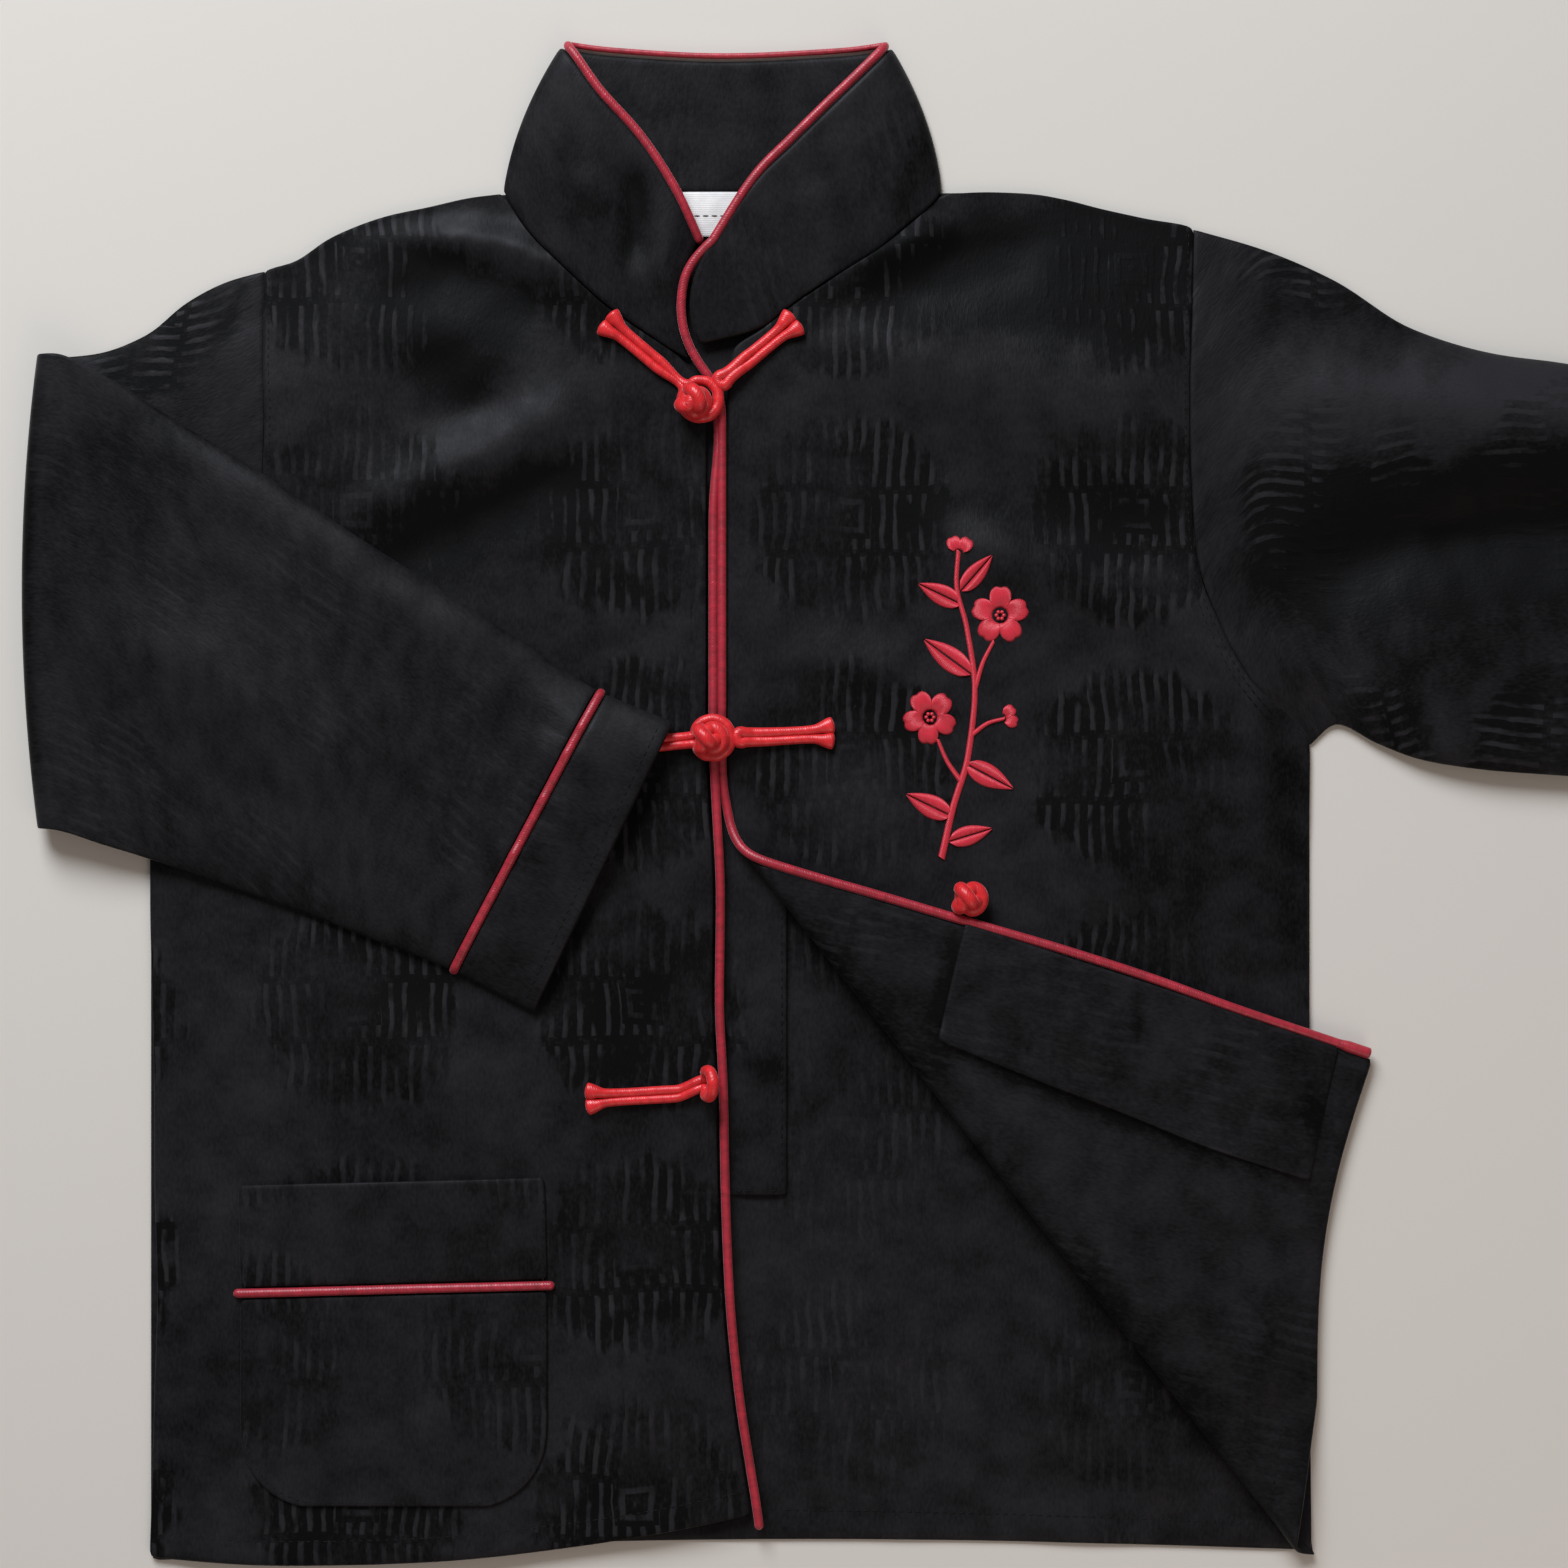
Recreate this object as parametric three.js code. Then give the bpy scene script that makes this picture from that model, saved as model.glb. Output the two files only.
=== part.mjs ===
// A child's tai chi jacket laid out flat: millimetres, +Z up, the wearer's right on the -X side.
// Before the last line centres it, x = 0 is the centre front and y = 0 is the hem.
import * as THREE from 'three';
import { mergeVertices } from 'three/addons/utils/BufferGeometryUtils.js';

// Driving dimensions
const CLOTH = 1.2;                // thickness of one layer of cloth
const GAP = 0.3;                  // clearance between two pieces that are sewn or lie together
const SEAM = 0.4;                 // clearance along a sewn seam, measured in the plane of the cloth
const PIPING = 3.4;               // diameter of the satin piping
const CORD = 3.2;                 // diameter of a frog's cord
const SIDE_RIGHT = -217;          // x of the wearer's right side seam
const SIDE_LEFT = 223;            // x of the wearer's left side seam
const UNDERARM_Y = 308.1;
const NECK_BACK_Y = 516.8;        // back neck seam
const EDGE_STEP = PIPING / 2 + GAP;     // from an edge of the cloth to the middle of its piping

// How finely the shapes are divided
const COLUMNS = 8;                // across a front, up to the fold
const ROLL_STEPS = 5;             // round a fold
const FLAP_COLUMNS = 6;
const FACING_COLUMNS = 4;
const POCKET_COLUMNS = 6;
const POCKET_CORNER_STEPS = 4;
const POCKET_PIPING_STEPS = 8;
const COLLAR_ROWS = 4;
const LOOP_STEPS = 8;             // round the loop of a frog's plan
const PIPING_SIDES = 8;
const CORD_SIDES = 6;
const ALONG = { collar: 60, rightFront: 36, leftFront: 80, pocket: 10, loop: 48, tail: 40, emptyLoop: 44 };

// How far the fronts stand off the back
const SEAM_LIFT = CLOTH + GAP;    // underside of a front at its side and shoulder seams
const BODY_LIFT = 3.9;            // underside of a front inside those seams
const LIFT_WIDTH = 45;            // width over which it rises
const PIPING_Z = SEAM_LIFT + CLOTH + GAP + PIPING / 2;    // both front pipings lie on the under placket

// The wearer's right sleeve is folded over the front about an upright line
const SLEEVE_FOLD = { x: -257.6, centre: 7, radius: 4.4, settle: 60 };
const SLEEVE_REST = BODY_LIFT + CLOTH + 0.7;      // underside of the folded sleeve where it lies on the front
const OVER_FROG = { lift: 3.9, from: -75, run: 25, y: 307, spread: 20 };

// The lower half of the wearer's left front is turned back about a slanting line
const FLAP_TOP = new THREE.Vector2(6.8, 275.9);
const FLAP_FOOT = new THREE.Vector2(220.8, 5.7);
const FLAP = { centre: 7.2, radius: 3.6, under: 3.0, rest: 9.0, rise: 30, settle: 40 };
const DROOP = { depth: 4.5, from: 185, run: 45 };         // the flap hangs down past the side seam
const FACING_GAP = 0.7;           // the facing lies on a curved flap
const PIPING_TURN = { from: -8, clear: 0.8 };             // extra room where the piped edge turns over

// Colours of the materials
const COLOURS = {
  cloth: { color: 0x1c1e21, roughness: 0.55, metalness: 0 },
  piping: { color: 0xb8323f, roughness: 0.4, metalness: 0 },
  frog: { color: 0xd8323a, roughness: 0.42, metalness: 0 },
  label: { color: 0xe8e6e0, roughness: 0.7, metalness: 0 },
};

// Armhole of each side from the shoulder to the underarm: the row's x and y
const ARMHOLE_RIGHT = [
  [-173.9, 487.6], [-173.9, 457.4], [-173.1, 430.9], [-174.6, 400.7],
  [-178.4, 374.2], [-184.5, 355.3], [-195.8, 332.6], [SIDE_RIGHT, UNDERARM_Y],
];
const ARMHOLE_LEFT = [
  [178.8, 503.5], [178.0, 476.3], [176.9, 438.5], [178.0, 400.7],
  [180.7, 374.2], [187.5, 355.3], [199.6, 332.6], [SIDE_LEFT, UNDERARM_Y],
];

// Shoulder seam of each side from the neck to the armhole: x and y
const SHOULDER_RIGHT = [
  [-84, 516.8], [-95.3, 515.5], [-111, 512], [-127.4, 508.5], [-148.2, 500.5], [-163.3, 490.6],
];
const SHOULDER_LEFT = [
  [84.5, 516.8], [100, 517.6], [116.4, 517], [130, 514.8], [142.9, 511.5], [161, 507.5],
];

// Neckline of each front from the shoulder to the centre: x and y
const NECK_RIGHT = [
  [-82.4, 515.4], [-72.6, 500.9], [-61.2, 489.5], [-42.3, 472.5], [-27.2, 462.3], [-17, 455.5],
];
const NECK_LEFT = [
  [82.9, 516], [73, 506.5], [59.7, 495.2], [44.6, 485.7], [29.5, 476.3], [14.4, 464.9],
];

// The rest of each front, a row from the side (sx, sy) to the front edge (ex, ey), down to the hem
const ROWS_RIGHT = [
  [...ARMHOLE_RIGHT[0], -13, 451.5],
  [...ARMHOLE_RIGHT[1], -6.8, 441],
  [...ARMHOLE_RIGHT[2], -5.9, 424],
  [...ARMHOLE_RIGHT[3], -5.9, 398],
  [...ARMHOLE_RIGHT[4], -5.9, 373],
  [...ARMHOLE_RIGHT[5], -5.9, 354],
  [...ARMHOLE_RIGHT[6], -5.9, 333],
  [...ARMHOLE_RIGHT[7], -5.9, 310],
  [SIDE_RIGHT, 287, -4.8, 287],
  [-217, 250, -3.1, 250],
  [-216.2, 211.7, -3.5, 211.7],
  [-215.5, 177, -2, 177.7],
  [-215.3, 140, -1.3, 141],
  [-214.3, 100, 0.3, 101],
  [-215.5, 60, 4, 62],
  [-216.3, 28, 8, 36],
  [-217.2, 0, 11, 17],
];
const ROWS_LEFT = [
  [...ARMHOLE_LEFT[0], 4, 457.5],
  [...ARMHOLE_LEFT[1], 1.9, 444],
  [...ARMHOLE_LEFT[2], 1.9, 424],
  [...ARMHOLE_LEFT[3], 1.9, 396],
  [...ARMHOLE_LEFT[4], 1.9, 372],
  [...ARMHOLE_LEFT[5], 1.9, 354],
  [...ARMHOLE_LEFT[6], 1.9, 334],
  [...ARMHOLE_LEFT[7], 1.9, 316],
  [222.8, 285, 1.9, 299],
  [222.3, 266, 4.6, 280],
  [222.3, 248, 7.4, 266],
  [222.5, 215, 9.6, 240],
  [222.8, 178, 11, 212],
  [223, 138, 13, 178],
  [223, 96, 14.7, 145],
  [223, 62, 17.6, 108],
  [223, 30, 21.5, 68],
  [223, 1.5, 26, 18.5],
];
const HEM_SAG_RIGHT = -9;         // the right front's hem curves down by this much in its middle
const BACK_HEM = { right: -1.5, middle: [13, 7.6], left: 2.6 };

// Sleeve rows from the armhole to the cuff end: upper edge (ux, uy), lower edge (lx, ly), how much of the
// armhole's curve the row keeps, and the room between its walls at mid height
const SLEEVE_LEFT = [
  { run: 0, ux: 178.8, uy: 503.5, lx: 223, ly: 308.1, curve: 1, room: 2.7 },
  { run: 26, ux: 205, uy: 496, lx: 233.6, ly: 316, curve: 0.7, room: 4.6 },
  { run: 54, ux: 232, uy: 484.5, lx: 248.7, ly: 308.5, curve: 0.4, room: 6.2 },
  { run: 88, ux: 262, uy: 466, lx: 266, ly: 302, curve: 0.15, room: 7.2 },
  { run: 120, ux: 294, uy: 456.5, lx: 290, ly: 298.2, curve: 0, room: 7.6 },
  { run: 146, ux: 320, uy: 453, lx: 320, ly: 296, curve: 0, room: 7.6 },
  { run: 198, ux: 370, uy: 441.5, lx: 358, ly: 292.8, curve: 0, room: 7.2 },
  { run: 260, ux: 430, uy: 425.7, lx: 410, ly: 289.2, curve: 0, room: 6.8 },
  { run: 318, ux: 486, uy: 411, lx: 464.5, ly: 285.4, curve: 0, room: 6.4 },
  { run: 351, ux: 517.9, uy: 402.6, lx: 496.7, ly: 282.7, curve: 0, room: 6.2 },
];
const SLEEVE_RIGHT = [
  { run: 0, ux: -173.9, uy: 487.6, lx: SIDE_RIGHT, ly: 308.1, curve: 1, room: 2.7 },
  { run: 15, ux: -188, uy: 484, lx: -226, ly: 301, curve: 0.6, room: 2.9 },
  { run: 33, ux: -205, uy: 476, lx: -236, ly: 293, curve: 0.3, room: 2.9 },
  { run: 54, ux: -222, uy: 464, lx: -245, ly: 286, curve: 0.1, room: 2.8 },
  { run: 76, ux: -244, uy: 456.6, lx: -252, ly: 280, curve: 0, room: 2.6 },
  { run: 90, ux: -257.6, uy: 455.5, lx: -257.6, ly: 277, curve: 0, room: 2.6 },
  { run: 104, ux: -271.4, uy: 455.5, lx: -271.4, ly: 276, curve: 0, room: 2.6 },
  { run: 124, ux: -290, uy: 448.5, lx: -290, ly: 270.5, curve: 0, room: 4 },
  { run: 151, ux: -314, uy: 435.5, lx: -311, ly: 264.5, curve: 0, room: 5.2 },
  { run: 198, ux: -354.4, uy: 411.5, lx: -342, ly: 254.5, curve: 0, room: 6.8 },
  { run: 239, ux: -388.4, uy: 389, lx: -370, ly: 245, curve: 0, room: 7 },
  { run: 306, ux: -445.1, uy: 353, lx: -400, ly: 233.5, curve: 0, room: 7 },
  { run: 351, ux: -483, uy: 328.5, lx: -427.1, ly: 223, curve: 0, room: 7 },
  { run: 383, ux: -511.2, uy: 316.5, lx: -458.5, ly: 207, curve: 0, room: 7 },
];
const CUFF = 31;                  // length of the cuff band
const CUFF_SEAM_CLEAR = 8;        // no table row is used nearer to the cuff seam than this
const EDGE_ROOM = 1.5;            // room between the mid layers of a flattened sleeve at its edges
const EDGE_INSET = 1.6;           // a sleeve's edge columns lie this far inside its outline
const EDGE_REACH = 1;             // and the turn between its two walls reaches this far beyond them
const BULGE = 0.6;                // power of the sine that rounds a sleeve, under 1 for a full section
const MITRE_LIMIT = 1.4;

// Collar, around the band from the wearer's right front end: the foot on the neck seam (x, y), the top
// edge (x, y), the height of the cloth's middle at foot and top, and the sideways bow of the station
const COLLAR = [
  { bx: -18.2, by: 456.4, tx: -9.2, ty: 504, bz: 4.3, tz: 4.3, bow: -5.5 },
  { bx: -27.2, by: 462.3, tx: -15.9, ty: 517.9, bz: 4.3, tz: 4.4, bow: -3 },
  { bx: -42.3, by: 472.5, tx: -31, ty: 540.5, bz: 4.2, tz: 4.5, bow: -1 },
  { bx: -61.2, by: 489.5, tx: -46.1, ty: 557.5, bz: 3.7, tz: 4.5, bow: -2 },
  { bx: -72.6, by: 500.9, tx: -53.5, ty: 568.5, bz: 3.2, tz: 4.5, bow: -3 },
  { bx: -80.9, by: 513.8, tx: -57.2, ty: 573.8, bz: 2.6, tz: 4.1, bow: -4 },
  { bx: -82.9, by: 517.4, tx: -58.8, ty: 575.6, bz: 1.6, tz: 2.6, bow: -4 },
  { bx: -80.9, by: NECK_BACK_Y, tx: -57, ty: 575.2, bz: 0.6, tz: 0.8, bow: -4 },
  { bx: -60, by: NECK_BACK_Y, tx: -40, ty: 573, bz: 0.6, tz: 0.6, bow: -2 },
  { bx: 0, by: NECK_BACK_Y, tx: 0, ty: 571, bz: 0.6, tz: 0.6, bow: 0 },
  { bx: 60, by: NECK_BACK_Y, tx: 45, ty: 573, bz: 0.6, tz: 0.6, bow: 2 },
  { bx: 81.4, by: NECK_BACK_Y, tx: 60.4, ty: 575, bz: 0.6, tz: 0.8, bow: 4 },
  { bx: 83.4, by: 517.9, tx: 62.2, ty: 575.4, bz: 1.6, tz: 2.6, bow: 4 },
  { bx: 81.4, by: 514.6, tx: 60.6, ty: 573.6, bz: 2.6, tz: 4.1, bow: 4 },
  { bx: 73, by: 506.5, tx: 55, ty: 567.5, bz: 3.2, tz: 4.5, bow: 3 },
  { bx: 59.7, by: 495.2, tx: 38, ty: 551, bz: 3.9, tz: 4.5, bow: 2 },
  { bx: 44.6, by: 485.7, tx: 25, ty: 538, bz: 4.3, tz: 4.5, bow: 1 },
  { bx: 29.5, by: 476.3, tx: 14.4, ty: 527.3, bz: 4.4, tz: 4.5, bow: -1 },
  { bx: 14.4, by: 464.9, tx: 5, ty: 513.8, bz: 4.4, tz: 4.5, bow: -2.4 },
  { bx: -8.6, by: 458.8, tx: -2.3, ty: 500, bz: 4.4, tz: 4.5, bow: -6.5 },
];
const COLLAR_CLEAR = 1.2;         // from the collar's cloth to the round of its piping

// The piping's way down the collar's front end to the first frog: x and y
const COLLAR_END = [
  [-4.6, 500.6], [-10, 492], [-14.4, 484], [-15.6, 472.5],
  [-13.8, 462], [-8.6, 452], [-2.2, 443], [-0.2, 436],
];
const UNDER_KNOT_Y = 434;         // the right front's piping starts under the first frog
const RIGHT_PIPING_END = [13.5, 13];
const CUFF_PIPING_RINGS = [-1, -0.5, 0.5, 1];             // across its width, in half widths

const POCKET = {
  left: -182, right: -65.8, bottom: 20, top: 101, rise: 3, corner: 28, bandTop: 142, widen: 1,
};
const PLACKET = { left: -15, right: 24.6, bottom: 137.2, top: 440 };
const LABEL = { left: -15.9, right: 8.7, bottom: 500.5, top: 515.5, thick: 0.8 };

// Facing along the turned-back edge, a row from the front edge (ex) to its inner edge (ix), both at y
const FACING = [
  { ex: 11.5, ix: 57, y: 178 },
  { ex: 15, ix: 63, y: 140 },
  { ex: 18, ix: 68, y: 104 },
  { ex: 22, ix: 74, y: 64 },
  { ex: 26.5, ix: 78.5, y: 20 },
];

// Frogs: the flared end, the loop or knot, and the radius of the loop round the knot
const FROGS = [
  { name: 'frog_1', knot: [-8.3, 438.5], loopEnd: [-43.5, 468], tailEnd: [27.5, 468] },
  { name: 'frog_2', knot: [-3.8, 310.7], loopEnd: [-49, 306.5], tailEnd: [41.5, 311.5] },
];
const FROG_LOOP = 7.4;
const FLARE = [[0, 2.8], [3.4, 2], [7.5, 0.3], [12, 0]];  // how far each strand spreads at first
const TAIL_CLEAR = 2.6;           // from the loop's cord to the turn of the facing tail
const PIPING_CROSSING = { half: 15, run: 8, x: -2 };      // where the cords cross the two lines of piping
const KNOT = { radius: 5.6, flat: 0.7, above: 2.7, around: 12, rows: 8 };
const EMPTY_LOOP = { end: [-50.5, 174.6], centre: [-5.2, 177.2], radius: 5.2 };
const TURNED_FROG = { end: [50.5, 181], turn: [17.5, 181], knot: [1.4, 181] };

const V = (x, y, z) => new THREE.Vector3(x, y, z);
const lerp = THREE.MathUtils.lerp;
const ease = (t) => THREE.MathUtils.smoothstep(t, 0, 1);

// Distance from a point to a line of points
function distanceTo(line, x, y) {
  let nearest = Infinity;
  for (let i = 0; i + 1 < line.length; i += 1) {
    const [ax, ay] = line[i];
    const [bx, by] = line[i + 1];
    const along = ((x - ax) * (bx - ax) + (y - ay) * (by - ay)) / ((bx - ax) ** 2 + (by - ay) ** 2);
    const t = THREE.MathUtils.clamp(along, 0, 1);
    nearest = Math.min(nearest, Math.hypot(x - lerp(ax, bx, t), y - lerp(ay, by, t)));
  }
  return nearest;
}

const SEAMS_RIGHT = [[SIDE_RIGHT, 0], [SIDE_RIGHT, UNDERARM_Y]];
const SEAMS_LEFT = [[SIDE_LEFT, 0], [SIDE_LEFT, UNDERARM_Y]];
const TOPS_RIGHT = [...SHOULDER_RIGHT, ARMHOLE_RIGHT[0]];
const TOPS_LEFT = [...SHOULDER_LEFT, ARMHOLE_LEFT[0]];

// Underside of the fronts above the surface that the jacket lies on
function underFront(x, y) {
  const side = x < 0 ? SEAMS_RIGHT : SEAMS_LEFT;
  const shoulder = x < 0 ? TOPS_RIGHT : TOPS_LEFT;
  const inside = Math.min(distanceTo(side, x, y), distanceTo(shoulder, x, y));
  return lerp(SEAM_LIFT, BODY_LIFT, ease(inside / LIFT_WIDTH));
}

const overFront = (x, y) => underFront(x, y) + CLOTH;

// Solids from grids of points
function solid(name, material, points, faces) {
  const geometry = new THREE.BufferGeometry();
  const places = points.flatMap((p) => [p.x, p.y, p.z]);
  geometry.setAttribute('position', new THREE.Float32BufferAttribute(places, 3));
  geometry.setIndex(faces.flat());
  const merged = mergeVertices(geometry, 1e-3);
  const index = merged.getIndex().array;
  const position = merged.getAttribute('position');
  const corner = (i) => V(position.getX(i), position.getY(i), position.getZ(i));
  const kept = [];
  let volume = 0;
  for (let i = 0; i < index.length; i += 3) {
    const [a, b, c] = [index[i], index[i + 1], index[i + 2]];
    if (a === b || b === c || c === a) continue;
    kept.push([a, b, c]);
    volume += corner(a).dot(corner(b).cross(corner(c)));
  }
  merged.setIndex((volume < 0 ? kept.map(([a, b, c]) => [a, c, b]) : kept).flat());
  merged.computeVertexNormals();
  const mesh = new THREE.Mesh(merged, new THREE.MeshStandardMaterial(COLOURS[material]));
  mesh.name = name;
  return mesh;
}

// A sheet between two grids of points with the same rows and columns
function sheet(name, material, lower, upper) {
  const rows = lower.length;
  const columns = lower[0].length;
  const points = [...lower.flat(), ...upper.flat()];
  const at = (side, i, j) => side * rows * columns + i * columns + j;
  const faces = [];
  const quad = (a, b, c, d) => faces.push([a, b, c], [a, c, d]);
  for (let i = 0; i + 1 < rows; i += 1) {
    for (let j = 0; j + 1 < columns; j += 1) {
      quad(at(0, i, j), at(0, i + 1, j), at(0, i + 1, j + 1), at(0, i, j + 1));
      quad(at(1, i, j), at(1, i, j + 1), at(1, i + 1, j + 1), at(1, i + 1, j));
    }
    quad(at(0, i, 0), at(1, i, 0), at(1, i + 1, 0), at(0, i + 1, 0));
    const last = columns - 1;
    quad(at(0, i, last), at(0, i + 1, last), at(1, i + 1, last), at(1, i, last));
  }
  for (let j = 0; j + 1 < columns; j += 1) {
    const last = rows - 1;
    quad(at(0, 0, j), at(0, 0, j + 1), at(1, 0, j + 1), at(1, 0, j));
    quad(at(0, last, j), at(1, last, j), at(1, last, j + 1), at(0, last, j + 1));
  }
  return solid(name, material, points, faces);
}

// A tube between an outer and an inner grid whose rows are closed rings
function tube(name, material, outer, inner) {
  const rows = outer.length;
  const columns = outer[0].length;
  const points = [...outer.flat(), ...inner.flat()];
  const at = (side, i, j) => side * rows * columns + i * columns + (j % columns);
  const faces = [];
  const quad = (a, b, c, d) => faces.push([a, b, c], [a, c, d]);
  for (let j = 0; j < columns; j += 1) {
    for (let i = 0; i + 1 < rows; i += 1) {
      quad(at(0, i, j), at(0, i, j + 1), at(0, i + 1, j + 1), at(0, i + 1, j));
      quad(at(1, i, j), at(1, i + 1, j), at(1, i + 1, j + 1), at(1, i, j + 1));
    }
    const last = rows - 1;
    quad(at(0, 0, j), at(1, 0, j), at(1, 0, j + 1), at(0, 0, j + 1));
    quad(at(0, last, j), at(0, last, j + 1), at(1, last, j + 1), at(1, last, j));
  }
  return solid(name, material, points, faces);
}

// A round cord along a line of points
function cord(name, material, points, diameter, steps, sides) {
  const section = new THREE.Shape();
  for (let i = 0; i < sides; i += 1) {
    const turn = (2 * Math.PI * (i + 0.5)) / sides;
    const [x, y] = [Math.cos(turn) * diameter / 2, Math.sin(turn) * diameter / 2];
    if (i === 0) section.moveTo(x, y);
    else section.lineTo(x, y);
  }
  section.closePath();
  const path = new THREE.CatmullRomCurve3(points, false, 'centripetal');
  const geometry = new THREE.ExtrudeGeometry(section, { steps, extrudePath: path, bevelEnabled: false });
  const mesh = new THREE.Mesh(geometry, new THREE.MeshStandardMaterial(COLOURS[material]));
  mesh.name = name;
  return mesh;
}

// Back: one flat panel from the hem to the shoulders
function back() {
  const outline = [
    [SIDE_RIGHT, BACK_HEM.right],
    ...[...ARMHOLE_RIGHT].reverse(),
    ...[...SHOULDER_RIGHT].reverse(),
    ...SHOULDER_LEFT,
    ...ARMHOLE_LEFT,
    [SIDE_LEFT, BACK_HEM.left],
    BACK_HEM.middle,
  ];
  const shape = new THREE.Shape(outline.map(([x, y]) => new THREE.Vector2(x, y)));
  const geometry = new THREE.ExtrudeGeometry(shape, { depth: CLOTH, bevelEnabled: false });
  const mesh = new THREE.Mesh(geometry, new THREE.MeshStandardMaterial(COLOURS.cloth));
  mesh.name = 'back';
  return mesh;
}

// Rows of a front from the shoulder down: the shoulder and neck rows, then the table's
function frontRows(shoulder, neck, rows) {
  const top = shoulder.map(([sx, sy], i) => [sx, sy, neck[i][0], neck[i][1]]);
  return [...top, ...rows];
}

function frontRight() {
  const rows = frontRows(SHOULDER_RIGHT, NECK_RIGHT, ROWS_RIGHT);
  const lower = rows.map(([sx, sy, ex, ey], i) => {
    const sag = i === rows.length - 1 ? HEM_SAG_RIGHT : 0;
    return Array.from({ length: COLUMNS + 1 }, (_, j) => {
      const t = j / COLUMNS;
      const x = lerp(sx, ex, t);
      const y = lerp(sy, ey, t) + sag * 4 * t * (1 - t);
      return V(x, y, underFront(x, y));
    });
  });
  const upper = lower.map((row) => row.map((p) => V(p.x, p.y, p.z + CLOTH)));
  return sheet('front_right', 'cloth', lower, upper);
}

// Turning the lower left front back: signed distance past the fold line, and the roll about it
const FLAP_ALONG = FLAP_FOOT.clone().sub(FLAP_TOP).normalize();
const FLAP_ACROSS = new THREE.Vector2(FLAP_ALONG.y, -FLAP_ALONG.x);
const pastFold = (x, y) => (x - FLAP_TOP.x) * FLAP_ACROSS.x + (y - FLAP_TOP.y) * FLAP_ACROSS.y;

function turnBack(x, y, z) {
  const past = pastFold(x, y);
  if (past <= 0) return V(x, y, z);
  const angle = Math.min(past / FLAP.radius, Math.PI);
  const rest = past - angle * FLAP.radius;
  const across = (FLAP.centre - z) * Math.sin(angle) - rest - past;
  const height = FLAP.centre - (FLAP.centre - z) * Math.cos(angle);
  return V(x + across * FLAP_ACROSS.x, y + across * FLAP_ACROSS.y, height);
}

// Underside of the left front in its unfolded pattern
function underPattern(x, y) {
  const past = pastFold(x, y);
  if (past <= 0) return lerp(FLAP.under, underFront(x, y), ease(-past / FLAP.rise));
  const turned = past - Math.PI * FLAP.radius;
  if (turned <= 0) return FLAP.under;
  const world = turnBack(x, y, 0);
  const atFold = 2 * FLAP.centre - FLAP.under - CLOTH;
  const settled = lerp(atFold, FLAP.rest, ease(turned / FLAP.settle));
  const low = settled - DROOP.depth * ease((world.x - DROOP.from) / DROOP.run);
  return 2 * FLAP.centre - low - CLOTH;
}

function frontLeft() {
  const rows = frontRows(SHOULDER_LEFT, NECK_LEFT, ROWS_LEFT);
  const lower = [];
  const upper = [];
  for (const [sx, sy, ex, ey] of rows) {
    const start = pastFold(sx, sy);
    const end = pastFold(ex, ey);
    const [fold, rolled] = [Math.min(end, 0), Math.min(end, Math.PI * FLAP.radius)];
    const stations = [];
    for (let j = 0; j < COLUMNS; j += 1) stations.push(lerp(start, fold, j / COLUMNS));
    for (let j = 0; j < ROLL_STEPS; j += 1) stations.push(lerp(fold, rolled, j / ROLL_STEPS));
    for (let j = 0; j <= FLAP_COLUMNS; j += 1) stations.push(lerp(rolled, end, j / FLAP_COLUMNS));
    const flat = stations.map((past) => {
      const t = (past - start) / (end - start);
      return [lerp(sx, ex, t), lerp(sy, ey, t)];
    });
    lower.push(flat.map(([x, y]) => turnBack(x, y, underPattern(x, y))));
    upper.push(flat.map(([x, y]) => turnBack(x, y, underPattern(x, y) + CLOTH)));
  }
  return sheet('front_left', 'cloth', lower, upper);
}

function facing() {
  const lower = [];
  const upper = [];
  for (const { ex, ix, y } of FACING) {
    const flat = Array.from({ length: FACING_COLUMNS + 1 }, (_, j) => [lerp(ex, ix, j / FACING_COLUMNS), y]);
    lower.push(flat.map(([x]) => turnBack(x, y, underPattern(x, y) - FACING_GAP - CLOTH)));
    upper.push(flat.map(([x]) => turnBack(x, y, underPattern(x, y) - FACING_GAP)));
  }
  return sheet('facing_left', 'cloth', lower, upper);
}

function placket() {
  const columns = [PLACKET.left, PLACKET.right];
  const rows = [PLACKET.bottom, PLACKET.top];
  const grid = (z) => rows.map((y) => columns.map((x) => V(x, y, z)));
  return sheet('under_placket', 'cloth', grid(SEAM_LIFT), grid(SEAM_LIFT + CLOTH));
}

// Sleeves: a ring is the middle of the cloth, offset both ways for the wall
function rowAt(table, run) {
  let i = 0;
  while (i + 2 < table.length && table[i + 1].run < run) i += 1;
  const t = (run - table[i].run) / (table[i + 1].run - table[i].run);
  const [before, after] = [table[i], table[i + 1]];
  return Object.fromEntries(Object.keys(before).map((key) => [key, lerp(before[key], after[key], t)]));
}

function foldSleeve(x, y, z) {
  const past = SLEEVE_FOLD.x - x;
  if (past <= 0) return V(x, y, z);
  const angle = Math.min(past / SLEEVE_FOLD.radius, Math.PI);
  const rest = past - angle * SLEEVE_FOLD.radius;
  const reach = (SLEEVE_FOLD.centre - z) * Math.sin(angle);
  return V(SLEEVE_FOLD.x - reach + rest, y, SLEEVE_FOLD.centre - (SLEEVE_FOLD.centre - z) * Math.cos(angle));
}

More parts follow.
